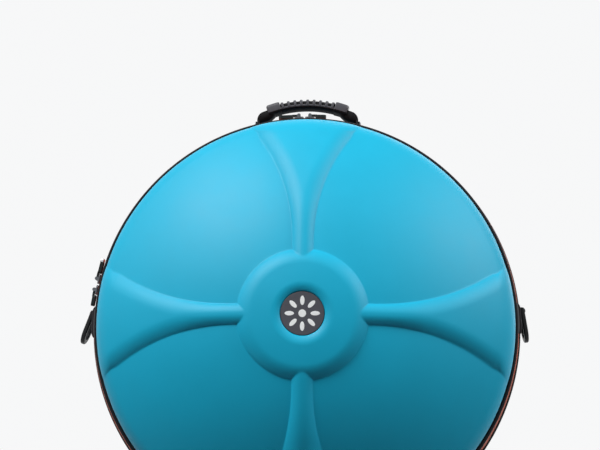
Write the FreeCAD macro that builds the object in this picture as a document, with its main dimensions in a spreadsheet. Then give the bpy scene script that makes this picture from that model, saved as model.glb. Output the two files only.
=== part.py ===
"""Moulded carrying case for a handpan, standing upright on its rim.

Frame: +Z up, the front dome faces -Y, the zip closes in the plane y = 0 and the floor is z = 0.
Each half is drawn in its own dome frame (u across, v along the rim plane, w out along the dome's
axis from the rim plane) and is then placed, the front one facing -Y and the back one facing +Y.
"""
import FreeCAD, Part
import Sketcher
import math
import os

from FreeCAD import Placement, Rotation, Vector

SIZES = [
    # the two moulded halves
    ("front_rim_radius", 300.0),
    ("back_rim_radius", 306.0),
    ("front_crown", 145.0),
    ("back_crown", 137.0),
    ("rim_straight", 8.0),
    ("arm_shoulder", 62.0),
    ("panel_shoulder", 46.0),
    ("panel_drop", 8.0),
    ("panel_inset", 0.8),
    ("shell_wall", 7.0),
    ("rim_half_gap", 18.0),
    ("ground_clearance", 5.6),
    # the moulded relief: a boss and four flared arms between four panels
    ("boss_foot_radius", 90.0),
    ("arm_half_width", 15.0),
    ("arm_flare_radius", 290.0),
    ("panel_corner_radius", 14.0),
    ("relief_slope", 14.0),
    # the dished badge seat
    ("badge_radius", 30.0),
    ("badge_thickness", 3.5),
    ("dish_floor_depth", 9.0),
    ("dish_floor_margin", 1.0),
    ("dish_flare", 1.6),
    # edge binding, zip tape, coil and sewn hinge
    ("binding_height", 4.4),
    ("binding_width", 5.5),
    ("binding_lap", 1.5),
    ("tape_thickness", 1.5),
    ("coil_height", 5.5),
    ("coil_half_width", 4.2),
    ("coil_parting", 0.5),
    ("hinge_half_angle", 14.0),
    ("hinge_parting", 0.15),
    # zip sliders and their pulls
    ("slider_length", 14.0),
    ("slider_width", 10.0),
    ("slider_plate", 1.8),
    ("slider_clearance", 0.35),
    ("slider_web", 0.6),
    ("pin_height", 2.6),
    ("pin_radius", 0.8),
    ("ear_thickness", 1.4),
    ("ear_gap", 6.0),
    ("pull_length", 30.0),
    ("short_pull_length", 24.0),
    ("pull_tab_width", 11.0),
    ("pull_tab_thickness", 4.6),
    ("pull_tab_drop", 2.0),
    ("pull_neck_length", 8.0),
    ("pair_half_angle", 1.5),
    ("top_pair_angle", 90.7),
    ("side_pair_angle", 168.9),
    # handle
    ("handle_setback", 34.0),
    ("handle_shift", 0.0),
    ("pivot_stand", 1.5),
    ("grip_underside_radius", 158.0),
    ("grip_thickness", 10.5),
    ("grip_shoulder", 5.5),
    ("grip_groove", 2.0),
    ("grip_width", 30.0),
    ("grip_half_angle", 21.0),
    ("grip_round", 2.6),
    ("rib_pitch_angle", 3.3),
    ("rib_count", 9.0),
    ("rib_height", 3.6),
    ("rib_width", 4.4),
    ("cuff_angle", 5.6),
    ("cuff_height", 4.6),
    ("strap_thickness", 2.5),
    ("strap_width", 22.0),
    ("strap_end_width", 16.0),
    ("strap_run_out", 9.5),
    ("strap_hang", 5.7),
    ("strap_bend", 10.0),
    ("lug_thickness", 3.0),
    ("lug_depth", 36.0),
    ("lug_foot_length", 22.0),
    ("lug_foot_thickness", 3.0),
    ("lug_eye_radius", 5.0),
    ("lug_gap", 0.35),
    ("rivet_radius", 2.0),
    ("rivet_head_radius", 3.4),
    ("rivet_head_height", 1.8),
    ("rivet_clearance", 0.15),
    # side anchors and D-rings
    ("anchor_height", 42.0),
    ("anchor_width", 34.0),
    ("anchor_setback", 43.0),
    ("anchor_rise", 8.0),
    ("anchor_lift_left", -2.8),
    ("anchor_lift_right", 3.7),
    ("anchor_stand", 5.0),
    ("anchor_depth", 40.0),
    ("anchor_corner", 6.0),
    ("ring_standoff", 4.5),
    ("ring_pivot_rise", 23.5),
    ("knuckle_length", 14.0),
    ("knuckle_radius", 5.6),
    ("ring_bar_radius", 2.6),
    ("ring_bar_clearance", 0.1),
    ("ring_half_width", 19.0),
    ("ring_band", 7.0),
    ("ring_drop", 27.5),
    ("ring_thickness", 6.4),
    ("ring_round", 2.0),
    ("ring_lean_left", 20.0),
    ("ring_lean_right", 9.0),
    # stand feet
    ("foot_spread", 64.0),
    ("foot_length", 52.0),
    ("foot_depth", 38.0),
    ("foot_inset", 4.0),
    ("foot_height", 60.0),
    ("foot_corner", 10.0),
    # foam pads inside
    ("pad_inner_radius", 262.0),
    ("pad_outer_radius", 310.0),
    ("pad_base", 3.0),
    ("pad_top", 40.0),
    ("pad_angle", 26.0),
    # backpack harness on the back
    ("webbing_thickness", 2.0),
    ("patch_thickness", 3.0),
    ("shoulder_pad_thickness", 10.0),
    ("shoulder_pad_length", 236.0),
    ("shoulder_pad_width", 62.0),
    ("shoulder_pad_corner", 26.0),
    ("shoulder_pad_lean", 9.0),
    ("shoulder_pad_offset", 64.0),
    ("shoulder_pad_rise", 20.0),
    ("yoke_width", 118.0),
    ("yoke_height", 52.0),
    ("yoke_rise", 148.0),
    ("webbing_width", 25.0),
    ("webbing_length", 130.0),
    ("webbing_offset", 95.0),
    ("webbing_rise", -150.0),
    ("lock_width", 38.0),
    ("lock_height", 30.0),
    ("lock_thickness", 4.0),
    ("lock_gap", 0.3),
    ("lock_offset", 91.0),
    ("lock_rise", -122.0),
    ("tab_width", 52.0),
    ("tab_height", 34.0),
    ("tab_offset", 106.0),
    ("tab_rise", -211.0),
]

COIL_INNER = "(front_rim_radius + back_rim_radius) / 2"
COIL_TOP = f"{COIL_INNER} + coil_height"
PLATE_TOP = f"{COIL_TOP} + slider_clearance + slider_plate"
PIN_AT = f"{PLATE_TOP} + pin_height"
PIVOT_RISE = "back_rim_radius + pivot_stand"
ANCHOR_FACE = "back_rim_radius + anchor_stand"
RING_REACH = f"{ANCHOR_FACE} + ring_standoff"

FRONT_TURN = Rotation(Vector(1, 0, 0), 90)
BACK_TURN = Rotation(Vector(1, 0, 0), -90)
UPRIGHT = Rotation(Vector(1, 0, 0), 90)
SECTION_PLANE = Placement(Vector(0, 0, 0), UPRIGHT)
GAP_ANGLE = -90.0

doc = FreeCAD.newDocument("handpan_case")


# ---------------------------------------------------------------- the sheet of driving sizes

sheet = doc.addObject("Spreadsheet::Sheet", "sizes")
for row, (alias, number) in enumerate(SIZES, start=1):
    sheet.set(f"A{row}", alias)
    sheet.set(f"B{row}", str(number))
    sheet.setAlias(f"B{row}", alias)
doc.recompute()


def size(expression):
    """The present value of an expression in the sheet's names."""
    found = sheet.evalExpression(expression)
    return float(getattr(found, "Value", found))


def linked(expression):
    """The same expression as another object writes it."""
    words, word = [], ""
    for sign in expression + " ":
        if sign.isalnum() or sign in "_.":
            word += sign
            continue
        words.append("sizes." + word if word[:1].isalpha() and word in NAMES else word)
        words.append(sign)
        word = ""
    return "".join(words).strip()


NAMES = {alias for alias, number in SIZES}


def bind(item, **expressions):
    for name, expression in expressions.items():
        item.setExpression(name.replace("__", "."), linked(expression))


# ---------------------------------------------------------------- sketches and plain solids

def polygon(name, corners, plane=SECTION_PLANE):
    """A closed outline of straight sides, each corner held at two bound distances."""
    sketch = doc.addObject("Sketcher::SketchObject", name)
    sketch.Placement = plane
    points = [Vector(size(across), size(along), 0) for across, along in corners]
    count = len(points)
    for index, point in enumerate(points):
        sketch.addGeometry(Part.LineSegment(point, points[(index + 1) % count]), False)
    for index in range(count):
        sketch.addConstraint(Sketcher.Constraint("Coincident", index, 2, (index + 1) % count, 1))
    for index, (across, along) in enumerate(corners):
        for kind, place, expression in (("DistanceX", points[index].x, across),
                                        ("DistanceY", points[index].y, along)):
            held = sketch.addConstraint(Sketcher.Constraint(kind, -1, 1, index, 1, place))
            sketch.setExpression(f"Constraints[{held}]", linked(expression))
    return sketch


def dome_profile(name, rim, crown, shoulder):
    """Half section of a dome: a straight rim, a shoulder arc and a crown arc, all tangent."""
    sketch = doc.addObject("Sketcher::SketchObject", name)
    sketch.Placement = SECTION_PLANE
    edge, height, bend, straight = size(rim), size(crown), size(shoulder), size("rim_straight")
    reach = height - straight
    sweep = ((edge - bend) ** 2 + reach ** 2 - bend ** 2) / (2 * (reach - bend))
    meeting = math.atan2(straight - height + sweep, edge - bend)
    axis = Vector(0, 0, 1)
    bend_arc = Part.ArcOfCircle(Part.Circle(Vector(edge - bend, straight, 0), axis, bend), 0, meeting)
    crown_arc = Part.ArcOfCircle(Part.Circle(Vector(0, height - sweep, 0), axis, sweep),
                                 meeting, math.pi / 2)
    sketch.addGeometry([
        Part.LineSegment(Vector(0, 0, 0), Vector(edge, 0, 0)),
        Part.LineSegment(Vector(edge, 0, 0), Vector(edge, straight, 0)),
        bend_arc,
        crown_arc,
        Part.LineSegment(Vector(0, height, 0), Vector(0, 0, 0)),
    ], False)
    sketch.addConstraint([
        Sketcher.Constraint("Coincident", 0, 1, -1, 1),
        Sketcher.Constraint("Coincident", 0, 2, 1, 1),
        Sketcher.Constraint("Tangent", 1, 2, 2, 1),
        Sketcher.Constraint("Tangent", 2, 2, 3, 1),
        Sketcher.Constraint("Coincident", 3, 2, 4, 1),
        Sketcher.Constraint("Coincident", 4, 2, 0, 1),
        Sketcher.Constraint("Horizontal", 0),
        Sketcher.Constraint("Vertical", 1),
        Sketcher.Constraint("Vertical", 4),
        Sketcher.Constraint("PointOnObject", 3, 3, -2),
    ])
    for constraint, expression in (
            (Sketcher.Constraint("DistanceX", 0, 1, 0, 2, edge), rim),
            (Sketcher.Constraint("DistanceY", 1, 1, 1, 2, straight), "rim_straight"),
            (Sketcher.Constraint("Radius", 2, bend), shoulder),
            (Sketcher.Constraint("DistanceY", 4, 2, 4, 1, height), crown)):
        held = sketch.addConstraint(constraint)
        sketch.setExpression(f"Constraints[{held}]", linked(expression))
    return sketch


def revolve(name, sketch, angle="360"):
    """The sketch turned about the dome's axis, starting from the section plane."""
    turned = doc.addObject("Part::Revolution", name)
    turned.Source = sketch
    turned.Axis = Vector(0, 0, 1)
    turned.Base = Vector(0, 0, 0)
    turned.Solid = True
    bind(turned, Angle=angle)
    return turned


def cut(name, base, tool):
    made = doc.addObject("Part::Cut", name)
    made.Base = base
    made.Tool = tool
    return made


def common(name, base, tool):
    made = doc.addObject("Part::Common", name)
    made.Base = base
    made.Tool = tool
    return made


def fuse(name, *pieces):
    made = doc.addObject("Part::MultiFuse", name)
    made.Shapes = list(pieces)
    made.Refine = True
    return made


def box(name, length, width, height, centre=("0", "0", "0"), turn=Rotation()):
    """A box whose middle lies at centre, turned about that middle."""
    block = doc.addObject("Part::Box", name)
    bind(block, Length=length, Width=width, Height=height)
    half = Vector(size(length), size(width), size(height)) * 0.5
    middle = Vector(*(size(value) for value in centre))
    block.Placement = Placement(middle - turn.multVec(half), turn)
    return block


def cylinder(name, radius, length, start, turn=Rotation()):
    """A cylinder from start along its own axis, which is Z before the turn."""
    rod = doc.addObject("Part::Cylinder", name)
    bind(rod, Radius=radius, Height=length)
    rod.Placement = Placement(Vector(*(size(value) for value in start)), turn)
    return rod


def rounded(name, item, radius, wanted):
    """Rounds the edges of an item for which wanted(edge) is true."""
    doc.recompute()
    blend = doc.addObject("Part::Fillet", name)
    blend.Base = item
    reach = size(radius)
    blend.Edges = [(index, reach, reach) for index, edge in enumerate(item.Shape.Edges, start=1)
                   if wanted(edge)]
    return blend


def runs_along(direction):
    def wanted(edge):
        return edge.Curve.TypeId == "Part::GeomLine" and edge.Curve.Direction.cross(direction).Length < 1e-6
    return wanted


ALONG_X, ALONG_Y, ALONG_Z = (Rotation(Vector(0, 1, 0), 90), Rotation(Vector(1, 0, 0), -90), Rotation())


# ---------------------------------------------------------------- where each half stands

def centre_height():
    """Height of the rim's centre: the back binding is the lowest thing above the feet."""
    return size("back_rim_radius + binding_height + ground_clearance")


class Half:
    """One moulded half: its rim, crown and the placement of its dome frame."""

    def __init__(self, name, facing, turn):
        self.name = name
        self.facing = facing
        self.rim = f"{name}_rim_radius"
        self.crown = f"{name}_crown"
        self.turn = turn
        self.down = 1.0 if facing > 0 else -1.0

    def frame(self, angle=0.0):
        base = Vector(0, self.facing * size("rim_half_gap"), centre_height())
        return Placement(base, self.turn).multiply(Placement(Vector(), Rotation(Vector(0, 0, 1), angle)))

    def stand(self, item, label, angle=0.0):
        item.Placement = self.frame(angle).multiply(item.Placement)
        return named(item, label)


NODES = []


def named(item, label):
    item.Label = label
    NODES.append(item)
    return item


FRONT = Half("front", -1, FRONT_TURN)
BACK = Half("back", 1, BACK_TURN)


# ---------------------------------------------------------------- the moulded relief

def crown_sweep(rim, crown, shoulder):
    reach = crown - size("rim_straight")
    return ((rim - shoulder) ** 2 + reach ** 2 - shoulder ** 2) / (2 * (reach - shoulder))


def crown_height(radius, crown, sweep):
    return crown - sweep + math.sqrt(sweep ** 2 - radius ** 2)


class Relief:
    """The panel cutter of one half: four tools that leave the boss and the flared arms standing.

    Each tool is a ruled loft through outlines that lie on the panel level, on two levels of the
    rounded slope and on the arm level, so the slope keeps its width over the whole dome.
    """
    STEPS = ((0.0, -0.08), (0.34, 0.56), (0.7, 0.9), (1.0, 1.04))
    HEADROOM = 20.0
    OVERRUN = 12.0

    def __init__(self, half):
        self.rim = size(half.rim)
        self.arm_crown = size(half.crown)
        self.panel_crown = self.arm_crown - size("panel_drop")
        self.arm_sweep = crown_sweep(self.rim, self.arm_crown, size("arm_shoulder"))
        self.panel_sweep = crown_sweep(self.rim - size("panel_inset"), self.panel_crown,
                                       size("panel_shoulder"))

    def level(self, share):
        """Height over the plan for a share of the step from panel to arm."""
        def height(radius):
            panel = crown_height(radius, self.panel_crown, self.panel_sweep)
            arm = crown_height(radius, self.arm_crown, self.arm_sweep)
            return panel + (arm - panel) * share
        return height

    def outline(self, grown):
        """The panel's plan in the first quadrant, grown outwards: six arcs as (centre, radius, from, to)."""
        boss = size("boss_foot_radius")
        corner = size("panel_corner_radius")
        flare = size("arm_flare_radius")
        half_width = size("arm_half_width")
        corner_x = math.sqrt((boss + corner) ** 2 - (half_width + corner) ** 2)
        corner_at = (corner_x, half_width + corner)
        flare_at = (corner_x, half_width + flare)
        limit = self.rim + self.OVERRUN
        swing = flare + grown
        away = math.hypot(*flare_at)
        towards = math.atan2(-flare_at[1], -flare_at[0])
        opening = math.acos((away ** 2 + swing ** 2 - limit ** 2) / (2 * away * swing))
        flare_end = towards + opening
        lean = math.atan2(corner_at[1], corner_at[0])
        end = (flare_at[0] + swing * math.cos(flare_end), flare_at[1] + swing * math.sin(flare_end))
        reach = math.atan2(end[1], end[0])
        lower = [
            (corner_at, corner + grown, math.pi + lean, 1.5 * math.pi),
            (flare_at, swing, 1.5 * math.pi, flare_end + 2 * math.pi if flare_end < 0 else flare_end),
        ]
        upper = [((y, x), radius, math.pi / 2 - stop, math.pi / 2 - start)
                 for (x, y), radius, start, stop in reversed(lower)]
        rim_side = ((0.0, 0.0), limit, reach, math.pi / 2 - reach)
        boss_side = ((0.0, 0.0), boss - grown, math.pi / 2 - lean, lean)
        return lower + [rim_side] + upper + [boss_side]

    def wire(self, grown, height):
        edges = []
        for (x, y), radius, start, stop in self.outline(grown):
            count = max(5, int(abs(stop - start) * radius / 30.0))
            points = []
            for step in range(count + 1):
                angle = start + (stop - start) * step / count
                u, v = x + radius * math.cos(angle), y + radius * math.sin(angle)
                points.append(Vector(u, v, height(math.hypot(u, v))))
            curve = Part.BSplineCurve()
            curve.interpolate(points)
            edges.append(curve.toShape())
        return Part.Wire(edges)

    def tool(self):
        slope = size("relief_slope")
        wires = [self.wire(0.0, lambda radius: -self.OVERRUN)]
        wires += [self.wire(slope * across, self.level(share)) for across, share in self.STEPS]
        wires.append(self.wire(slope, lambda radius: self.arm_crown + self.HEADROOM))
        return Part.makeLoft(wires, True, True)


def panel_tools(half):
    """The cutter of one panel, and its three turned copies."""
    tools = []
    tool = Relief(half).tool()
    for quarter in range(4):
        item = doc.addObject("Part::Feature", f"{half.name}_panel_tool_{quarter}")
        item.Shape = tool
        item.Placement = Placement(Vector(), Rotation(Vector(0, 0, 1), 90 * quarter))
        tools.append(item)
    return fuse(f"{half.name}_panel_tools", *tools)


def moulded_solid(half):
    """The outer form of a half, filled: arm level all over, with the four panels cut down."""
    arm_level = revolve(f"{half.name}_arm_level", dome_profile(
        f"{half.name}_arm_profile", half.rim, half.crown, "arm_shoulder"))
    panel_level = revolve(f"{half.name}_panel_level", dome_profile(
        f"{half.name}_panel_profile", f"{half.rim} - panel_inset", f"{half.crown} - panel_drop",
        "panel_shoulder"))
    recess = cut(f"{half.name}_recess", panel_tools(half), panel_level)
    return cut(f"{half.name}_form", arm_level, recess)


def cavity_of(half):
    return revolve(f"{half.name}_cavity", dome_profile(
        f"{half.name}_cavity_profile", f"{half.rim} - panel_inset - shell_wall",
        f"{half.crown} - panel_drop - shell_wall", "panel_shoulder - shell_wall"))


def badge_dish():
    """A cone that opens outwards from the badge's flat seat."""
    rise = "2 * dish_floor_depth"
    dish = doc.addObject("Part::Cone", "badge_dish")
    bind(dish, Radius1="badge_radius + dish_floor_margin",
         Radius2="badge_radius + dish_floor_margin + dish_flare * 2 * dish_floor_depth", Height=rise)
    dish.Placement = Placement(Vector(0, 0, size("front_crown - dish_floor_depth")), Rotation())
    return dish


def make_front_shell(form, cavity):
    hollow = cut("front_hollow", form, cavity)
    return FRONT.stand(cut("front_dished", hollow, badge_dish()), "front_shell")


def make_back_shell(form, cavity):
    return BACK.stand(cut("back_hollow", form, cavity), "back_shell")


def make_badge():
    """A flat disc with a softened edge in the dish."""
    disc = cylinder("badge_disc", "badge_radius", "badge_thickness",
                    ("0", "0", "front_crown - dish_floor_depth"))
    top = size("front_crown - dish_floor_depth + badge_thickness")
    soft = rounded("badge_rounded", disc, "badge_thickness / 3",
                   lambda edge: edge.Curve.TypeId == "Part::GeomCircle"
                   and abs(edge.Curve.Center.z - top) < 1e-6)
    return FRONT.stand(soft, "badge")


# ---------------------------------------------------------------- rim: binding, tape, coil, hinge

def ring(half, label, corners, start, angle):
    section = polygon(f"{label}_section", corners)
    return half.stand(revolve(f"{label}_ring", section, angle), label, start)


def make_rim(half):
    name, rim = half.name, half.rim
    ring(half, f"{name}_binding", [
        (rim, "-binding_lap"),
        (f"{rim} + binding_height * 0.85", "-binding_lap"),
        (f"{rim} + binding_height", "binding_width * 0.45 - binding_lap"),
        (f"{rim} + binding_height * 0.7", "binding_width - binding_lap"),
        (rim, "binding_width - binding_lap"),
    ], 0.0, "360")
    gap_centre = GAP_ANGLE * half.down * -1.0
    zip_start = gap_centre + size("hinge_half_angle")
    coil_side = "-(rim_half_gap - coil_half_width)"
    seat = f"{COIL_INNER} + (coil_height - tape_thickness) / 2"
    outer = f"({rim} + 1)"
    ring(half, f"{name}_zip_tape", [
        (outer, "-binding_lap"),
        (f"{outer} + tape_thickness", "-binding_lap"),
        (f"{seat} + tape_thickness", coil_side),
        (seat, coil_side),
    ], zip_start, "360 - 2 * hinge_half_angle")
    ring(half, f"{name}_zip_coil", [
        (COIL_INNER, coil_side),
        (COIL_INNER, "-(rim_half_gap - coil_parting)"),
        (COIL_TOP, "-(rim_half_gap - coil_parting)"),
        (COIL_TOP, coil_side),
    ], zip_start, "360 - 2 * hinge_half_angle")
    parting = "-(rim_half_gap - hinge_parting)"
    ring(half, f"{name}_hinge_tape", [
        (outer, "-binding_lap"),
        (f"{outer} + tape_thickness", "-binding_lap"),
        (f"{seat} + tape_thickness", parting),
        (seat, parting),
    ], zip_start - 2 * size("hinge_half_angle"), "2 * hinge_half_angle")


# ---------------------------------------------------------------- feet and foam pads

def make_feet(half, form):
    """Rubber feet moulded to the shoulder, with flat soles on the floor."""
    doc.recompute()
    for side, hand in ((-1, "left"), (1, "right")):
        label = f"{half.name}_foot_{hand}"
        sole = "back_rim_radius + binding_height + ground_clearance"
        reach = f"({sole} - foot_height / 2) * {half.down}"
        block = box(f"{label}_block", "foot_length", "foot_height", "foot_depth",
                    (f"foot_spread * {side}", reach, "foot_inset + foot_depth / 2"))
        soft = rounded(f"{label}_soft", block, "foot_corner", runs_along(Vector(0, 1, 0)))
        half.stand(cut(f"{label}_cut", soft, form), label)


def make_foam_pads(half, cavity):
    """Four blocks against the wall, behind the arms, that hold the instrument's rim."""
    section = polygon(f"{half.name}_pad_section", [
        ("pad_inner_radius + 6", "pad_base"),
        ("pad_outer_radius", "pad_base"),
        ("pad_outer_radius", "pad_top"),
        ("pad_inner_radius - 6", "pad_top"),
    ])
    sector = revolve(f"{half.name}_pad_sector", section, "pad_angle")
    pads = []
    for quarter in range(4):
        pad = doc.addObject("Part::Feature", f"{half.name}_pad_{quarter}")
        doc.recompute()
        pad.Shape = sector.Shape
        pad.Placement = Placement(Vector(), Rotation(Vector(0, 0, 1), 90 * quarter - size("pad_angle") / 2))
        pads.append(pad)
    half.stand(common(f"{half.name}_pads_seated", fuse(f"{half.name}_pads", *pads), cavity),
               f"{half.name}_foam_pads")


# ---------------------------------------------------------------- zip sliders

def at_rim(angle):
    """Placement of a piece drawn at the top of the rim, moved round it to an angle from +X."""
    return Placement(Vector(0, 0, centre_height()), Rotation(Vector(0, 1, 0), 90 - angle))


def make_slider(label, angle, facing):
    """Two plates joined by a thin web between the coils, with ears and a cross pin for the pull."""
    upper = box(f"{label}_upper", "slider_length", "slider_width", "slider_plate",
                ("0", "0", f"{COIL_TOP} + slider_clearance + slider_plate / 2"))
    upper_soft = rounded(f"{label}_upper_soft", upper, "slider_width / 4", runs_along(Vector(0, 0, 1)))
    lower = box(f"{label}_lower", "slider_length", "slider_width", "slider_plate",
                ("0", "0", f"{COIL_INNER} - slider_clearance - slider_plate / 2"))
    lower_soft = rounded(f"{label}_lower_soft", lower, "slider_width / 4", runs_along(Vector(0, 0, 1)))
    web = box(f"{label}_web", "slider_length / 3", "slider_web",
              "coil_height + 2 * slider_clearance + slider_plate",
              ("0", "0", f"{COIL_INNER} + coil_height / 2"))
    parts = [upper_soft, lower_soft, web]
    for side in (-1, 1):
        parts.append(cylinder(f"{label}_ear_{side}", "pin_height", "ear_thickness",
                              ("0", f"{side} * (ear_gap / 2 + ear_thickness / 2) - ear_thickness / 2", PIN_AT),
                              ALONG_Y))
        parts.append(box(f"{label}_ear_foot_{side}", "2 * pin_height", "ear_thickness", "pin_height",
                         ("0", f"{side} * (ear_gap / 2 + ear_thickness / 2)", f"{PIN_AT} - pin_height / 2")))
    parts.append(cylinder(f"{label}_pin", "pin_radius", "ear_gap + ear_thickness",
                          ("0", "-(ear_gap + ear_thickness) / 2", PIN_AT), ALONG_Y))
    whole = fuse(f"{label}_whole", *parts)
    whole.Placement = at_rim(angle)
    return named(whole, label)


def make_pull(label, angle, facing, length):
    """An eye round the slider's pin, a neck between the ears and a moulded tab, lying on the zip."""
    inner = "pin_radius + slider_clearance"
    eye_width = "ear_gap - 2 * slider_clearance"
    eye = cylinder(f"{label}_eye", "pin_height * 0.8", eye_width,
                   ("0", f"-({eye_width}) / 2", PIN_AT), ALONG_Y)
    neck = box(f"{label}_neck", "pull_neck_length + pull_tab_thickness / 2", eye_width, "pin_height",
               ("pull_neck_length / 2 + pull_tab_thickness / 4", "0", PIN_AT))
    body = fuse(f"{label}_link", eye, neck)
    hole = cylinder(f"{label}_hole", inner, "ear_gap", ("0", "-ear_gap / 2", PIN_AT), ALONG_Y)
    link = cut(f"{label}_link_bored", body, hole)
    tab = box(f"{label}_tab", f"{length} - pull_neck_length", "pull_tab_width", "pull_tab_thickness",
              (f"({length} + pull_neck_length) / 2", "0", f"{PIN_AT} - pull_tab_drop"))
    tab_soft = rounded(f"{label}_tab_soft", tab, "pull_tab_width / 3", runs_along(Vector(0, 0, 1)))
    whole = fuse(f"{label}_whole", link, tab_soft)
    flip = Rotation() if facing > 0 else Rotation(Vector(0, 0, 1), 180)
    whole.Placement = at_rim(angle).multiply(Placement(Vector(), flip))
    return named(whole, label)


def make_zip_pair(pair, angle, first, second):
    """Two sliders nose to nose, with pulls that lie away from each other."""
    step = size("pair_half_angle")
    for word, shift, facing in ((first, step, -1), (second, -step, 1)):
        length = "short_pull_length" if word in ("right", "lower") else "pull_length"
        make_slider(f"slider_{pair}_{word}", size(angle) + shift, facing)
        make_pull(f"pull_{pair}_{word}", size(angle) + shift, facing, length)


# ---------------------------------------------------------------- handle

def arc_edge(radius, start, stop, centre=Vector()):
    """An arc in the XZ plane, angles measured from +Z towards +X, in degrees."""
    def at(angle):
        turn = math.radians(angle)
        return centre + Vector(radius * math.sin(turn), 0, radius * math.cos(turn))
    return Part.Arc(at(start), at((start + stop) / 2), at(stop)).toShape(), at(start), at(stop)


def arched_block(name, inner, outer, half_angle, width):
    """A block between two arcs about the grip's centre, as wide as the expression says."""
    sweep = size(half_angle)
    low, low_start, low_stop = arc_edge(size(inner), -sweep, sweep)
    high, high_start, high_stop = arc_edge(size(outer), sweep, -sweep)
    face = Part.Face(Part.Wire([
        low, Part.LineSegment(low_stop, high_start).toShape(),
        high, Part.LineSegment(high_stop, low_start).toShape()]))
    depth = size(width)
    face.translate(Vector(0, -depth / 2, 0))
    block = doc.addObject("Part::Feature", name)
    block.Shape = face.extrude(Vector(0, depth, 0))
    return block


def strap_middle():
    return size("grip_underside_radius + grip_thickness / 2")


def strap_end():
    """Half span of the strap's hanging ends, and the height over the grip's centre of each bend's foot."""
    lean = math.radians(size("grip_half_angle"))
    run, bend, middle = size("strap_run_out"), size("strap_bend"), strap_middle()
    across = middle * math.sin(lean) + run * math.cos(lean) + bend * (1 - math.sin(lean))
    height = middle * math.cos(lean) - run * math.sin(lean) - bend * math.cos(lean)
    return across, height


def pivot_drop():
    """Height of the rivets over the grip's centre: a short hang below the bends."""
    return strap_end()[1] - size("strap_hang")


def grip_frame():
    rise = size(PIVOT_RISE) - pivot_drop()
    return Placement(Vector(size("handle_shift"), size("handle_setback"), centre_height() + rise), Rotation())


def strap_face(offset):
    """Points and edges of one face of the strap, from the left end over the top to the right end."""
    lean_degrees = size("grip_half_angle")
    lean = math.radians(lean_degrees)
    run, bend, middle = size("strap_run_out"), size("strap_bend"), strap_middle()
    across, height = strap_end()
    pivot = pivot_drop()
    top, top_start, top_stop = arc_edge(middle + offset, -lean_degrees, lean_degrees)
    edges = []
    run_vector = Vector(run * math.cos(lean), 0, -run * math.sin(lean))
    bend_centre = Vector(across - bend, 0, height)
    bend_edge, bend_start, bend_stop = arc_edge(bend + offset, lean_degrees, 90, bend_centre)
    foot = Vector(bend_stop.x, 0, pivot)
    right = [Part.LineSegment(top_stop, top_stop + run_vector).toShape(), bend_edge,
             Part.LineSegment(bend_stop, foot).toShape()]
    left = [edge.mirror(Vector(), Vector(1, 0, 0)) for edge in right]
    edges += left + [top] + right
    return edges, foot


def strap_waist(pivot):
    """What is cut from both edges of the strap, so that it narrows to its round ends."""
    wide, end = size("strap_width") / 2, size("strap_end_width") / 2
    across = strap_end()[0]
    waist = pivot + end
    side = Part.Face(Part.makePolygon([
        Vector(-2 * across, end, pivot - 2 * wide), Vector(-2 * across, 2 * wide, pivot - 2 * wide),
        Vector(-2 * across, 2 * wide, waist + 2 * wide - end), Vector(-2 * across, end, waist),
        Vector(-2 * across, end, pivot - 2 * wide)]))
    block = side.extrude(Vector(4 * across, 0, 0))
    return block, block.mirror(Vector(), Vector(0, 1, 0))


def make_handle_strap():
    """One webbing strap through the grip, hanging at both ends to round ends on the rivets."""
    half = size("strap_thickness") / 2
    outer, outer_foot = strap_face(half)
    inner, inner_foot = strap_face(-half)
    ends = [Part.LineSegment(outer_foot, inner_foot).toShape(),
            Part.LineSegment(Vector(-outer_foot.x, 0, outer_foot.z),
                             Vector(-inner_foot.x, 0, inner_foot.z)).toShape()]
    face = Part.Face(Part.Wire(Part.__sortEdges__(outer + inner + ends)))
    width = size("strap_width")
    face.translate(Vector(0, -width / 2, 0))
    band = face.extrude(Vector(0, width, 0))
    across = strap_end()[0]
    pivot = pivot_drop()
    for block in strap_waist(pivot):
        band = band.cut(block)
    above = Part.makeBox(4 * across, 2 * width, 2 * width, Vector(-2 * across, -width, pivot))
    for side in (-1, 1):
        start = Vector(side * across - half, 0, pivot)
        tongue = Part.makeCylinder(size("strap_end_width") / 2, 2 * half, start, Vector(1, 0, 0))
        band = band.fuse(tongue.cut(above))
    for side in (-1, 1):
        start = Vector(side * across - 2 * half, 0, pivot)
        band = band.cut(Part.makeCylinder(size("rivet_radius + rivet_clearance"), 4 * half, start,
                                          Vector(1, 0, 0)))
    strap = doc.addObject("Part::Feature", "handle_strap_band")
    strap.Shape = band.removeSplitter()
    strap.Placement = grip_frame()
    return named(strap, "handle_strap")


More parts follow.
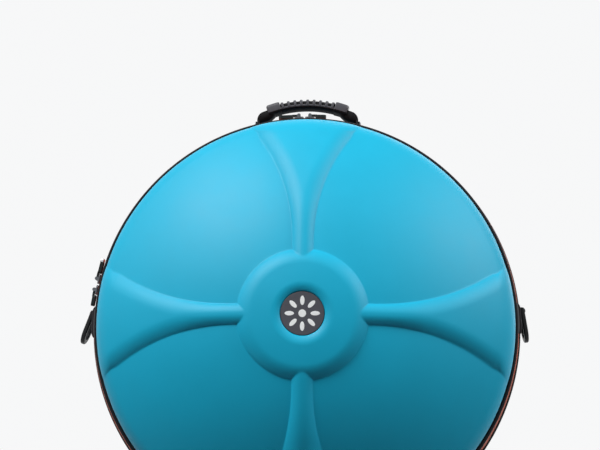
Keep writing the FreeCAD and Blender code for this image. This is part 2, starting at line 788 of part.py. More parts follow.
def make_handle_grip():
    """Moulded grip: an arched bar under a narrower core, a cuff at each end and ribs over the core."""
    under = "grip_underside_radius"
    bar = arched_block("grip_bar", under, f"{under} + grip_shoulder", "grip_half_angle", "grip_width")
    soft = rounded("grip_soft", bar, "grip_round",
                   lambda edge: edge.Curve.TypeId == "Part::GeomCircle")
    seat = f"{under} + grip_thickness / 2"
    rib_foot = f"{under} + grip_shoulder / 2"
    core = arched_block("grip_core", rib_foot, f"{under} + grip_thickness", "grip_half_angle",
                        "grip_width - 2 * grip_groove")
    parts = [soft, core]
    rib_half = math.degrees(size("rib_width") / 2 / size(f"{under} + grip_thickness"))
    middle = (size("rib_count") - 1) / 2
    for index in range(int(size("rib_count"))):
        rib = arched_block(f"grip_rib_{index}", rib_foot, f"{under} + grip_thickness + rib_height",
                           str(rib_half), "grip_width - grip_groove / 2")
        turn = Rotation(Vector(0, 1, 0), (index - middle) * size("rib_pitch_angle"))
        rib.Placement = Placement(Vector(), turn)
        parts.append(rib)
    for side in (-1, 1):
        cuff = arched_block(f"grip_cuff_{side}", under, f"{under} + grip_thickness + cuff_height",
                            "cuff_angle / 2", "grip_width + 2")
        turn = Rotation(Vector(0, 1, 0), side * (size("grip_half_angle") - size("cuff_angle") / 2))
        cuff.Placement = Placement(Vector(), turn)
        parts.append(rounded(f"grip_cuff_soft_{side}", cuff, "grip_round",
                             lambda edge: edge.Curve.TypeId == "Part::GeomCircle"))
    whole = fuse("grip_whole", *parts)
    slot = arched_block("grip_slot", f"{seat} - strap_thickness / 2", f"{seat} + strap_thickness / 2",
                        "grip_half_angle + 1", "strap_width")
    grip = cut("grip_slotted", whole, slot)
    grip.Placement = grip_frame()
    return named(grip, "handle_grip")


def handle_rod(name, radius, low, high, side):
    """A rod on the rivets' line, between two distances from the handle's middle, on one side of it."""
    rod = cylinder(name, radius, str(high - low), ("0", "0", "0"), ALONG_X)
    rod.Placement.Base = Vector(size("handle_shift") + (low if side > 0 else -high), size("handle_setback"),
                                centre_height() + size(PIVOT_RISE))
    return rod


def make_handle_lugs(back_solid):
    """Upright lugs outside the strap's ends, on feet moulded to the back shell, and their rivets."""
    across = strap_end()[0]
    face = across + size("strap_thickness / 2 + lug_gap")
    back = face + size("lug_thickness")
    inner = across - size("strap_thickness / 2 + lug_gap")
    shift, setback = size("handle_shift"), size("handle_setback")
    pivot = centre_height() + size(PIVOT_RISE)
    width = size("strap_end_width")
    foot_width = width + 4
    rivets = []
    for side, hand in ((-1, "left"), (1, "right")):
        label = f"handle_lug_{hand}"
        plate = box(f"{label}_plate", "lug_thickness", "strap_end_width", "lug_depth")
        plate.Placement = Placement(Vector(shift + (face if side > 0 else -back), setback - width / 2,
                                           pivot - size("lug_depth")), Rotation())
        eye = handle_rod(f"{label}_eye", "lug_eye_radius", face, back, side)
        skin = doc.addObject("Part::Cylinder", f"{label}_skin")
        bind(skin, Radius="back_rim_radius + lug_foot_thickness", Height="strap_end_width + 4")
        skin.Placement = Placement(Vector(0, setback - foot_width / 2, centre_height()), ALONG_Y)
        window = box(f"{label}_window", "lug_foot_length", "strap_end_width + 4", "2 * lug_depth")
        reach = face + size("lug_foot_length")
        window.Placement = Placement(Vector(shift + (face if side > 0 else -reach),
                                            setback - foot_width / 2, pivot - 2 * size("lug_depth")),
                                     Rotation())
        pad = common(f"{label}_pad", skin, window)
        joined = fuse(f"{label}_joined", plate, eye, pad)
        hole = handle_rod(f"{label}_hole", "rivet_radius", face - 1, back + 1, side)
        named(cut(f"{label}_seated", cut(f"{label}_bored", joined, hole), back_solid), label)
        head = size("rivet_head_height")
        rivets.append(fuse(
            f"rivet_{hand}",
            handle_rod(f"rivet_{hand}_shank", "rivet_radius", inner, back, side),
            handle_rod(f"rivet_{hand}_inner", "rivet_head_radius", inner - head, inner, side),
            handle_rod(f"rivet_{hand}_outer", "rivet_head_radius", back, back + head, side)))
    pair = doc.addObject("Part::Compound", "rivet_pair")
    pair.Links = rivets
    named(pair, "handle_rivets")


# ---------------------------------------------------------------- side anchors and D-rings

def make_side_anchor(side, hand, back_solid):
    """A moulded base on the back shell's edge with a knuckle for the ring's bar."""
    label = f"side_anchor_{hand}"
    base = box(f"{label}_base", "anchor_depth", "anchor_width", "anchor_height",
               (f"({ANCHOR_FACE} - anchor_depth / 2) * {side}", "0", "0"))
    soft = rounded(f"{label}_soft", base, "anchor_corner", runs_along(Vector(1, 0, 0)))
    lift = centre_height() + size(f"anchor_lift_{hand}")
    soft.Placement = Placement(Vector(0, size("anchor_setback"), lift + size("anchor_rise")), Rotation())
    pivot = Vector(side * size(RING_REACH), size("anchor_setback - knuckle_length / 2"),
                   lift + size("ring_pivot_rise"))
    barrel = cylinder(f"{label}_barrel", "knuckle_radius", "knuckle_length", ("0", "0", "0"), ALONG_Y)
    barrel.Placement.Base = pivot
    bore = cylinder(f"{label}_bore", "ring_bar_radius + ring_bar_clearance", "knuckle_length + 2",
                    ("0", "0", "0"), ALONG_Y)
    bore.Placement.Base = pivot - Vector(0, 1, 0)
    solid = cut(f"{label}_bored", fuse(f"{label}_joined", soft, barrel), bore)
    named(cut(f"{label}_seated", solid, back_solid), label)


def make_d_ring(side, hand):
    """A moulded D-ring: a round bar in the knuckle, two legs and a half-round bow, leaning outwards."""
    label = f"d_ring_{hand}"
    half, band = "ring_half_width", "ring_band"
    bow = cylinder(f"{label}_bow", half, "ring_thickness", ("-ring_thickness / 2", "0", "-ring_drop"), ALONG_X)
    top = "ring_band / 2"
    legs = box(f"{label}_legs", "ring_thickness", f"2 * {half}", f"ring_drop + {top}",
               ("0", "0", f"({top} - ring_drop) / 2"))
    plate = fuse(f"{label}_plate", bow, legs)
    hole_bow = cylinder(f"{label}_hole_bow", f"{half} - {band}", "2 * ring_thickness",
                        ("-ring_thickness", "0", "-ring_drop"), ALONG_X)
    hole_box = box(f"{label}_hole_box", "2 * ring_thickness", f"2 * ({half} - {band})", f"ring_drop + {band}",
                   ("0", "0", f"({band} - ring_drop) / 2"))
    bow_cut = cut(f"{label}_open", plate, fuse(f"{label}_hole", hole_bow, hole_box))
    soft = rounded(f"{label}_soft", bow_cut, "ring_round",
                   lambda edge: abs(abs(edge.CenterOfMass.x) - size("ring_thickness") / 2) < 1e-6)
    bar = cylinder(f"{label}_bar", "ring_bar_radius", f"2 * ({half} - {band} / 2)",
                   ("0", f"-({half} - {band} / 2)", "0"), ALONG_Y)
    whole = fuse(f"{label}_whole", soft, bar)
    place = Vector(side * size(RING_REACH), size("anchor_setback"),
                   centre_height() + size(f"anchor_lift_{hand}") + size("ring_pivot_rise"))
    whole.Placement = Placement(place, Rotation(Vector(0, 1, 0), -side * size(f"ring_lean_{hand}")))
    named(whole, label)


# ---------------------------------------------------------------- backpack harness

def raised(name, form, height="0"):
    """A copy moved outwards, so that what is left over the first lies on its relief."""
    copy = doc.addObject("Part::Compound", name)
    copy.Links = [form]
    copy.Placement = Placement(Vector(0, 0, size(height)), Rotation())
    return copy


def plan_piece(label, width, height, corner, offset, rise, lean=0.0):
    """A rounded plan as a tall prism over the dome; rise is measured upwards on the finished case."""
    block = box(f"{label}_prism", width, height, "2 * back_crown", ("0", "0", "back_crown"))
    soft = rounded(f"{label}_plan", block, corner, runs_along(Vector(0, 0, 1)))
    soft.Placement = Placement(Vector(size(offset), -size(rise), 0), Rotation(Vector(0, 0, 1), lean))
    return soft


def lying_on_back(label, plan, over, under, *beside):
    """The part of a plan between two outer forms, less its neighbours."""
    piece = cut(f"{label}_laid", common(f"{label}_pressed", plan, over), under)
    for index, neighbour in enumerate(beside):
        piece = cut(f"{label}_trimmed_{index}", piece, neighbour)
    return piece


def make_harness(form):
    ball = doc.addObject("Part::Sphere", "pad_level")
    relief = Relief(BACK)
    ball.Radius = relief.arm_sweep + size("shoulder_pad_thickness")
    ball.Placement = Placement(Vector(0, 0, relief.arm_crown - relief.arm_sweep), Rotation())
    webbing_top = raised("webbing_level", form, "webbing_thickness")
    patch_top = raised("patch_level", form, "patch_thickness")
    lock_seat = raised("lock_seat_level", form, "webbing_thickness + lock_gap")
    lock_top = raised("lock_level", form, "webbing_thickness + lock_gap + lock_thickness")
    pads = []
    for side, hand in ((-1, "left"), (1, "right")):
        lean = -side * size("shoulder_pad_lean")
        label = f"shoulder_pad_{hand}"
        plan = plan_piece(label, "shoulder_pad_width", "shoulder_pad_length", "shoulder_pad_corner",
                          f"shoulder_pad_offset * {side}", "shoulder_pad_rise", lean)
        pad = lying_on_back(label, plan, ball, form)
        pads.append(pad)
        label = f"strap_tab_{hand}"
        plan = plan_piece(label, "tab_width", "tab_height", "8", f"tab_offset * {side}", "tab_rise", lean)
        tab = lying_on_back(label, plan, patch_top, form)
        label = f"strap_webbing_{hand}"
        plan = plan_piece(label, "webbing_width", "webbing_length", "1", f"webbing_offset * {side}",
                          "webbing_rise", lean)
        webbing = lying_on_back(label, plan, webbing_top, form, pad, tab)
        label = f"ladder_lock_{hand}"
        frame = plan_piece(label, "lock_width", "lock_height", "5", f"lock_offset * {side}", "lock_rise", lean)
        windows = []
        slope = math.tan(math.radians(size("shoulder_pad_lean")))
        for index, shift in enumerate((-7.5, 7.5)):
            windows.append(plan_piece(f"{label}_window_{index}", "webbing_width + 2", "7", "1.5",
                                      f"(lock_offset - {slope * shift}) * {side}",
                                      f"lock_rise + {shift}", lean))
        open_frame = cut(f"{label}_frame", frame, fuse(f"{label}_windows", *windows))
        lock = lying_on_back(label, open_frame, lock_top, lock_seat)
        for piece, word in ((pad, "shoulder_pad"), (tab, "strap_tab"), (webbing, "strap_webbing"),
                            (lock, "ladder_lock")):
            BACK.stand(raised(f"{word}_{hand}_placed", piece), f"{word}_{hand}")
    plan = plan_piece("harness_yoke", "yoke_width", "yoke_height", "12", "0", "yoke_rise")
    BACK.stand(lying_on_back("harness_yoke", plan, patch_top, form, *pads), "harness_yoke")


# ---------------------------------------------------------------- the whole case

front_form = moulded_solid(FRONT)
back_form = moulded_solid(BACK)
front_cavity = cavity_of(FRONT)
back_cavity = cavity_of(BACK)
make_front_shell(front_form, front_cavity)
make_back_shell(back_form, back_cavity)
make_badge()
for one in (FRONT, BACK):
    make_rim(one)
make_feet(FRONT, front_form)
make_feet(BACK, back_form)
make_foam_pads(FRONT, front_cavity)
make_foam_pads(BACK, back_cavity)
make_zip_pair("top", "top_pair_angle", "left", "right")
make_zip_pair("side", "side_pair_angle", "lower", "upper")
make_handle_strap()
make_handle_grip()

doc.recompute()
back_solid = doc.addObject("Part::Feature", "back_solid_placed")
back_solid.Shape = back_form.Shape
back_solid.Placement = BACK.frame()
make_handle_lugs(back_solid)
for side, hand in ((-1, "left"), (1, "right")):
    make_side_anchor(side, hand, back_solid)
    make_d_ring(side, hand)
make_harness(back_form)
doc.recompute()


# ---------------------------------------------------------------- checks and export

def check_and_export():
    for item in doc.Objects:
        if "Invalid" in item.State or "Error" in item.State:
            raise RuntimeError(f"{item.Name} ({item.Label}) failed: {item.State}")
    os.makedirs("parts", exist_ok=True)
    for item in NODES:
        shape = item.Shape
        if shape.isNull() or not shape.isValid() or not shape.Solids:
            raise RuntimeError(f"{item.Label} has no valid solid")
        shape.exportStep(f"parts/{item.Label}.step")
        print(f"{item.Label}: {len(shape.Solids)} solid(s), {shape.Volume:.0f} mm3")


check_and_export()
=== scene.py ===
import math

import bmesh
import bpy
import numpy as np
from mathutils import Matrix, Vector
from mathutils.bvhtree import BVHTree


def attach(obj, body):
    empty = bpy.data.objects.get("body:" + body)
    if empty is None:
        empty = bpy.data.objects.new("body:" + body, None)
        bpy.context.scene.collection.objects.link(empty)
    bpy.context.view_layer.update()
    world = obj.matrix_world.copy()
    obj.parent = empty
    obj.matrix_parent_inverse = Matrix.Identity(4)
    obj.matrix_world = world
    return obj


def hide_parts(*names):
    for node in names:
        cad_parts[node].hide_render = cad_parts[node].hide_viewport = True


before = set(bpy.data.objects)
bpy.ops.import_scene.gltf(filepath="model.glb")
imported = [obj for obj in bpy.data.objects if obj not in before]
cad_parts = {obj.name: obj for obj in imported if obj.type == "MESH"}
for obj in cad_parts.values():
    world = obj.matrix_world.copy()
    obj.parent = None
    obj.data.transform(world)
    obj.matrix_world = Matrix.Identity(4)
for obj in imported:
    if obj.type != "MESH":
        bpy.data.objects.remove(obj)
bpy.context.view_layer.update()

# ---------------------------------------------------------------- the two halves

MM = 0.001
TAU = 2 * math.pi
FRONT, BACK = -1, 1
BODY = {FRONT: "lid", BACK: "back_half"}
NAME = {FRONT: "front", BACK: "back"}
HANDS = ((-1, "left"), (1, "right"))

# The height of the rim's centre and half the zip band's width, in metres.
CENTRE_Z = 0.316
HALF_BAND = 0.018

# From here on sizes are in millimetres. A dome's heights count from its rim's edge.
RIM = {FRONT: 300.0, BACK: 306.0}
CROWN = {FRONT: 145.0, BACK: 137.0}
STRAIGHT = 8.0
ARM_SHOULDER, PANEL_SHOULDER = 62.0, 46.0
PANEL_INSET, PANEL_DROP = 0.8, 8.0
PIPING_ROOM = {FRONT: 0.7, BACK: 0.0}
LINING_INSET, LINING_DROP, LINING_SHOULDER = 7.8, 15.0, 39.0


def place(points, facing):
    """Dome-frame points in millimetres (across, up, out) to the case's frame in metres."""
    points = np.asarray(points, float)
    x = points[:, 0] * MM
    y = facing * (HALF_BAND + points[:, 2] * MM)
    z = CENTRE_Z + points[:, 1] * MM
    return np.stack([x, y, z], axis=1)


class Profile:
    """A dome's section: crown arc, tangent shoulder arc, straight rim. Points by their normal's angle."""

    def __init__(self, rim, crown, shoulder):
        self.rim, self.crown, self.shoulder = rim, crown, shoulder
        reach = crown - STRAIGHT
        self.sweep = ((rim - shoulder) ** 2 + reach ** 2 - shoulder ** 2) / (2 * (reach - shoulder))
        self.tangent = math.atan2(rim - shoulder, STRAIGHT - crown + self.sweep)

    def at(self, normal):
        normal = np.asarray(normal, float)
        on_crown = normal <= self.tangent
        r = np.where(on_crown, self.sweep * np.sin(normal),
                     self.rim - self.shoulder + self.shoulder * np.sin(normal))
        h = np.where(on_crown, self.crown - self.sweep + self.sweep * np.cos(normal),
                     STRAIGHT + self.shoulder * np.cos(normal))
        return r, h

    def normal_at(self, r):
        return math.asin(min(1.0, r / self.sweep))


def eased(x):
    x = np.clip(x, 0.0, 1.0)
    return x * x * (3 - 2 * x)


BOSS_FOOT, BOSS_ROUND = 90.6, 22.0
ARM_HALF_WIDTH, ARM_ROUND = 14.6, 25.0
FLARE_RADIUS = 290.0
# The arms' sides start to flare where the fillets between boss and arms end.
FLARE_START = math.sqrt((90.0 + 14.0) ** 2 - (15.0 + 14.0) ** 2)
FOOT_LAP, FOOT_FILLET = 0.7, 2.2
# An arm is lower beside the boss and at full height further out.
CREST_LOW, CREST_FROM, CREST_RUN = 0.8, 95.0, 70.0
# Under the boss the arms fade out towards the badge. Boss and arms blend over this share of their height.
FADE_FROM, FADE_RUN, BLEND = 30.0, 20.0, 0.07
BADGE_EDGE, BADGE_FLOOR = 30.4, 136.0
DISH_WIDTH, DISH_DEPTH = 14.0, 4.3


def rounded_edge(distance, width):
    """0 on a panel, 1 at full height: a convex edge, steepest at its foot, with a tiny fillet there."""
    inside = np.clip((np.asarray(distance) + FOOT_LAP) / width, 0.0, 1.0)
    convex = 1.0 - (1.0 - inside) ** 2
    return convex * eased((np.asarray(distance) + FOOT_LAP) / FOOT_FILLET)


def relief_share(u, v):
    """How far a point stands out of the panels, 0 to 1: a round boss, and four arms that flare outwards."""
    x, y = np.abs(u), np.abs(v)
    x, y = np.maximum(x, y), np.minimum(x, y)
    flared = np.hypot(x - FLARE_START, y - ARM_HALF_WIDTH - FLARE_RADIUS) - FLARE_RADIUS
    arm = np.where(x > FLARE_START, flared, ARM_HALF_WIDTH - y)
    reach = np.clip(x - FLARE_START, 0.0, FLARE_RADIUS - 1.0)
    half_width = ARM_HALF_WIDTH + FLARE_RADIUS - np.sqrt(FLARE_RADIUS ** 2 - reach ** 2)
    crest = CREST_LOW + (1.0 - CREST_LOW) * eased((x - CREST_FROM) / CREST_RUN)
    arm_share = crest * rounded_edge(arm, np.minimum(ARM_ROUND, half_width))
    arm_share *= eased((x - FADE_FROM) / FADE_RUN)
    boss_share = rounded_edge(BOSS_FOOT - np.hypot(x, y), BOSS_ROUND)
    h = np.clip(0.5 + 0.5 * (boss_share - arm_share) / BLEND, 0.0, 1.0)
    return boss_share * h + arm_share * (1 - h) + BLEND * h * (1 - h) * np.minimum(boss_share, arm_share)


# ---------------------------------------------------------------- mesh helpers

def make_mesh(name, verts, faces, material=None, smooth=True, face_material=None):
    """An object from points and faces; with several materials, face_material tells each face's."""
    mesh = bpy.data.meshes.new(name)
    mesh.from_pydata([tuple(v) for v in verts], [], [tuple(int(i) for i in f) for f in faces])
    if smooth:
        mesh.polygons.foreach_set("use_smooth", [True] * len(mesh.polygons))
    mesh.update()
    obj = bpy.data.objects.new(name, mesh)
    bpy.context.collection.objects.link(obj)
    for one in (material if isinstance(material, (list, tuple)) else [material]):
        if one is not None:
            mesh.materials.append(one)
    if face_material is not None:
        mesh.polygons.foreach_set("material_index", [int(i) for i in face_material])
    return obj


def outward(obj):
    """Makes all faces of a closed or single-sheet piece agree, pointing outwards."""
    work = bmesh.new()
    work.from_mesh(obj.data)
    bmesh.ops.recalc_face_normals(work, faces=work.faces)
    work.to_mesh(obj.data)
    work.free()
    return obj


def grid_faces(rows, columns, wrap_rows=False):
    """Quads between rows of points that each close on themselves."""
    faces = []
    for i in range(rows if wrap_rows else rows - 1):
        for j in range(columns):
            a, b = i * columns, (i + 1) % rows * columns
            faces.append((a + j, a + (j + 1) % columns, b + (j + 1) % columns, b + j))
    return faces


def end_caps(rows, columns):
    """The faces that close the first and the last of such rows."""
    last = (rows - 1) * columns
    return [tuple(range(columns)), tuple(last + i for i in reversed(range(columns)))]


def modifier(obj, kind, **settings):
    added = obj.modifiers.new(kind.lower(), kind)
    for key, value in settings.items():
        setattr(added, key, value)
    return added


def rides(obj, body, replaces=()):
    """Tells the frame a piece's body and the CAD nodes that it stands for."""
    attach(obj, body)
    if replaces:
        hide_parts(*replaces)


# ---------------------------------------------------------------- materials

def srgb(r, g, b):
    def linear(c):
        c /= 255.0
        return c / 12.92 if c <= 0.04045 else ((c + 0.055) / 1.055) ** 2.4
    return (linear(r), linear(g), linear(b), 1.0)


def set_stops(ramp, stops):
    elements = ramp.color_ramp.elements
    while len(elements) < len(stops):
        elements.new(0.5)
    for element, (position, colour) in zip(elements, stops):
        element.position = position
        element.color = colour


class Nodes:
    """A short way to write a material's node tree."""

    def __init__(self, name):
        self.material = bpy.data.materials.new(name)
        self.material.use_nodes = True
        self.tree = self.material.node_tree
        self.shader = self.tree.nodes["Principled BSDF"]
        self.output = self.tree.nodes["Material Output"]

    def new(self, kind, **inputs):
        node = self.tree.nodes.new(kind)
        for key, value in inputs.items():
            if hasattr(node, key) and key not in node.inputs:
                setattr(node, key, value)
            else:
                self.put(node, key, value)
        return node

    def put(self, node, key, value):
        socket = node.inputs[key]
        if isinstance(value, bpy.types.NodeSocket):
            self.tree.links.new(value, socket)
        else:
            socket.default_value = value

    def set(self, **inputs):
        for key, value in inputs.items():
            self.put(self.shader, key.replace("_", " "), value)
        return self

    def math(self, operation, a, b):
        node = self.tree.nodes.new("ShaderNodeMath")
        node.operation = operation
        self.put(node, 0, a)
        self.put(node, 1, b)
        return node.outputs[0]

    def place(self, scale=(1.0, 1.0, 1.0)):
        coordinates = self.tree.nodes.new("ShaderNodeTexCoord")
        mapping = self.tree.nodes.new("ShaderNodeMapping")
        self.tree.links.new(coordinates.outputs["Object"], mapping.inputs["Vector"])
        mapping.inputs["Scale"].default_value = scale
        return mapping.outputs["Vector"]

    def noise(self, scale, detail, roughness=0.55, vector=None):
        node = self.tree.nodes.new("ShaderNodeTexNoise")
        node.inputs["Scale"].default_value = scale
        node.inputs["Detail"].default_value = detail
        node.inputs["Roughness"].default_value = roughness
        self.tree.links.new(vector if vector is not None else self.place(), node.inputs["Vector"])
        return node.outputs["Fac"]

    def wave(self, scale, direction):
        node = self.tree.nodes.new("ShaderNodeTexWave")
        node.wave_type = "BANDS"
        node.bands_direction = direction
        node.inputs["Scale"].default_value = scale
        self.tree.links.new(self.place(), node.inputs["Vector"])
        return node.outputs["Fac"]

    def ramp(self, factor, stops):
        node = self.tree.nodes.new("ShaderNodeValToRGB")
        self.tree.links.new(factor, node.inputs["Fac"])
        set_stops(node, stops)
        return node.outputs["Color"]

    def bump(self, height, strength, distance, before=None):
        node = self.tree.nodes.new("ShaderNodeBump")
        node.inputs["Strength"].default_value = strength
        node.inputs["Distance"].default_value = distance
        self.tree.links.new(height, node.inputs["Height"])
        if before is not None:
            self.tree.links.new(before, node.inputs["Normal"])
        return node.outputs["Normal"]


def shade(colour, by):
    return (min(colour[0] * by, 1.0), min(colour[1] * by, 1.0), min(colour[2] * by, 1.0), 1.0)


# A band texture of scale 1 repeats about every 0.314 m.
BAND_LENGTH = 0.314


def toned(n, factor, colour, low, high, stops=(0.3, 0.7)):
    """Lets the base colour wander between two shades of one colour."""
    n.set(Base_Color=n.ramp(factor, [(stops[0], shade(colour, low)), (stops[1], shade(colour, high))]))


def woven(name, colour, pitch, roughness, depth, spread=0.1, sheen=0.25, specular=0.5):
    """Plain-weave cloth: crossed threads, fibre fuzz and slow tone changes; pitch and depth in metres."""
    n = Nodes(name)
    threads = n.math("MAXIMUM", *(n.wave(BAND_LENGTH / pitch, direction) for direction in "XZ"))
    fuzz = n.noise(1400.0, 2.0)
    slow = n.noise(18.0, 4.0, 0.6)
    tone = n.math("ADD", n.math("MULTIPLY", slow, 0.75), n.math("MULTIPLY", fuzz, 0.25))
    toned(n, tone, colour, 1 - spread, 1 + spread)
    n.set(Roughness=n.math("ADD", n.math("MULTIPLY", slow, 0.12), roughness - 0.06),
          Sheen_Weight=sheen, Sheen_Roughness=0.5, Specular_IOR_Level=specular)
    first = n.bump(threads, 0.35, depth)
    n.set(Normal=n.bump(fuzz, 0.2, depth * 0.6, before=first))
    return n.material


def moulded(name, colour, roughness, grain=900.0, depth=0.00006, spread=0.12, specular=0.5):
    """Moulded plastic or rubber with a fine eroded grain and handled patches."""
    n = Nodes(name)
    slow = n.noise(35.0, 5.0, 0.65)
    fine = n.noise(grain, 2.0)
    toned(n, slow, colour, 1 - spread, 1 + spread, (0.3, 0.75))
    scuff = 0.1
    n.set(Roughness=n.math("ADD", n.math("MULTIPLY", slow, scuff * 2), roughness - scuff),
          Specular_IOR_Level=specular)
    n.set(Normal=n.bump(fine, 0.25, depth))
    return n.material


def metal(name, colour, roughness=0.28):
    """Worn metal with a brushed grain."""
    n = Nodes(name)
    slow = n.noise(90.0, 5.0, 0.65)
    brushed = n.noise(1.0, 3.0, 0.6, vector=n.place(scale=(400.0, 6000.0, 400.0)))
    toned(n, slow, colour, 0.86, 1.06)
    n.set(Metallic=1.0)
    n.set(Roughness=n.math("ADD", n.math("MULTIPLY", slow, 0.2), roughness - 0.08))
    n.set(Normal=n.bump(brushed, 0.12, 0.00003))
    return n.material


TURQUOISE = (0.001, 0.372, 0.57, 1.0)
SHELL = woven("shell_cloth", TURQUOISE, 0.0011, 0.52, 0.00004, spread=0.03, sheen=0.0, specular=0.31)
LINING = woven("brushed_lining", srgb(44, 45, 50), 0.0014, 0.95, 0.0001, spread=0.12, sheen=0.5)
BINDING = woven("edge_binding", srgb(17, 17, 20), 0.0012, 0.75, 0.0002, spread=0.15, sheen=0.05,
                specular=0.15)
TAPE = woven("zip_tape_cloth", srgb(200, 104, 80), 0.0009, 0.8, 0.00015, spread=0.12)
HINGE = woven("hinge_tape_cloth", srgb(30, 30, 33), 0.0014, 0.8, 0.0002, spread=0.12)
WEBBING = woven("black_webbing", srgb(24, 24, 28), 0.0018, 0.78, 0.0003, spread=0.14, sheen=0.08,
                specular=0.2)
MESH_CLOTH = woven("padding_mesh", srgb(40, 41, 45), 0.0026, 0.85, 0.0005, spread=0.14, sheen=0.3)
THREAD = woven("stitch_thread", srgb(60, 60, 66), 0.0006, 0.7, 0.0001)
RUST_THREAD = woven("rust_thread", srgb(186, 100, 84), 0.0006, 0.7, 0.0001)
COIL = moulded("coil_filament", srgb(186, 98, 76), 0.35, grain=1500.0)
PLASTIC = moulded("black_moulding", srgb(20, 22, 25), 0.4, specular=0.2)
PULL_TAB = moulded("pull_tab", srgb(22, 30, 30), 0.45, specular=0.15)
# The grip's rubber comes as two copies. The lighter one goes on faces that catch the light. The darker one
# paints shade into the grip's grooves and onto its underside, and the handle ends use it as their own dark
# rubber.
RUBBER = moulded("grip_rubber", srgb(66, 66, 71), 0.42, grain=1300.0, specular=0.3)
SHADE_AND_DARK_RUBBER = moulded("grip_groove", srgb(17, 17, 19), 0.7, grain=1300.0, specular=0.12)
FOOT_RUBBER = moulded("foot_rubber", srgb(34, 34, 36), 0.75, grain=700.0, depth=0.0001)
BADGE = moulded("badge_face", srgb(52, 53, 61), 0.5, grain=1800.0, depth=0.00003, spread=0.08)
BADGE_PRINT = moulded("badge_print", srgb(238, 240, 240), 0.55, grain=1800.0, depth=0.00002, spread=0.03)
SLIDER_METAL = metal("slider_metal", srgb(92, 95, 99))
PULL_TIP = metal("pull_tip_metal", srgb(205, 207, 210))
RIVET_METAL = metal("rivet_metal", srgb(180, 182, 186), 0.32)


def repaint(material, *nodes):
    """Gives carried-over CAD nodes their material."""
    for name in nodes:
        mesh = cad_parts[name].data
        mesh.materials.clear()
        mesh.materials.append(material)


# ---------------------------------------------------------------- camera, stage and light

LENS, SENSOR = 91.9, 36.0
# Where the camera stands, seen from the rim's centre, in degrees and metres.
AZIMUTH, ELEVATION, DISTANCE = 1.75, -6.3, 2.204
# How far it aims beside and above that centre, as tangents, and its roll in degrees.
AIM_RIGHT, AIM_UP, ROLL = -0.00391730, 0.06502720, 0.42

# Each lamp's place, target, width and height in metres, and its power.
AIM_POINT = (0.0, -0.1, 0.36)
LAMPS = {
    "left_high": ((-1.35, -1.55, 2.45), AIM_POINT, (1.3, 1.3), 96.0),
    "left_side": ((-2.6, -0.7, 1.5), AIM_POINT, (1.4, 1.4), 12.0),
    "right_side": ((2.3, -0.7, 1.8), AIM_POINT, (1.4, 1.4), 56.0),
    "right_high": ((1.4, -1.7, 2.3), AIM_POINT, (1.2, 1.2), 7.0),
    "back": ((0.9, 2.5, 1.7), (0.0, 0.1, 0.36), (3.2, 2.6), 34.0),
}
# The sky's brightness from straight down (0) to straight up (1).
SKY = ((0.0, 0.0), (0.4, 0.0), (0.6, 0.01), (1.0, 0.02))
STUDIO_WHITE = (0.93, 0.935, 0.94, 1.0)
FLOOR_GREY, FLOOR_BOUNCE = (0.86, 0.86, 0.87, 1.0), (0.06, 0.06, 0.065, 1.0)
# The floor turns into the white of the background from this distance on, at this rate per metre.
SWEEP_FROM, SWEEP_RATE = 0.55, 0.8
FROST = 0.5


def turned(first, second, angle):
    """Two directions at right angles, turned about the third."""
    c, s = math.cos(angle), math.sin(angle)
    return first * c + second * s, second * c - first * s


def frame_axes(look):
    """A level camera's right and up for a direction of view."""
    right = look.cross(Vector((0, 0, 1))).normalized()
    return right, right.cross(look).normalized()


def add_camera():
    camera = bpy.data.objects.new("camera", bpy.data.cameras.new("camera"))
    bpy.context.collection.objects.link(camera)
    camera.data.sensor_width = SENSOR
    camera.data.lens = LENS
    camera.data.clip_start, camera.data.clip_end = 0.05, 60.0
    azimuth, elevation = math.radians(AZIMUTH), math.radians(ELEVATION)
    offset = DISTANCE * Vector((math.sin(azimuth) * math.cos(elevation),
                                -math.cos(azimuth) * math.cos(elevation), math.sin(elevation)))
    eye = Vector((0, -HALF_BAND, CENTRE_Z)) + offset
    look = -offset.normalized()
    right, up = frame_axes(look)
    aim = (look + right * AIM_RIGHT + up * AIM_UP).normalized()
    x_axis, y_axis = turned(*frame_axes(aim), math.radians(ROLL))
    camera.matrix_world = Matrix([(x_axis[i], y_axis[i], -aim[i], eye[i]) for i in range(3)] + [(0, 0, 0, 1)])
    bpy.context.scene.camera = camera


def add_lamp(name, location, target, size, power):
    light = bpy.data.lights.new(name, "AREA")
    light.shape = "RECTANGLE"
    light.size, light.size_y = size
    light.energy = power
    obj = bpy.data.objects.new(name, light)
    bpy.context.collection.objects.link(obj)
    obj.location = location
    obj.rotation_euler = (Vector(target) - Vector(location)).to_track_quat("-Z", "Y").to_euler()


def mixed(tree, share, first, second):
    """Mixes two shaders; the share of the second is a number or a socket."""
    mix = tree.nodes.new("ShaderNodeMixShader")
    if isinstance(share, float):
        mix.inputs["Fac"].default_value = share
    else:
        tree.links.new(share, mix.inputs["Fac"])
    tree.links.new(first, mix.inputs[1])
    tree.links.new(second, mix.inputs[2])
    return mix.outputs["Shader"]


def camera_only(tree, seen, other):
    """Mixes what the camera, mirrors and glass see with what lights the object."""
    path = tree.nodes.new("ShaderNodeLightPath")
    rays = path.outputs["Is Camera Ray"]
    for kind in ("Is Glossy Ray", "Is Transmission Ray"):
        either = tree.nodes.new("ShaderNodeMath")
        either.operation = "MAXIMUM"
        tree.links.new(rays, either.inputs[0])
        tree.links.new(path.outputs[kind], either.inputs[1])
        rays = either.outputs[0]
    return mixed(tree, rays, other, seen)


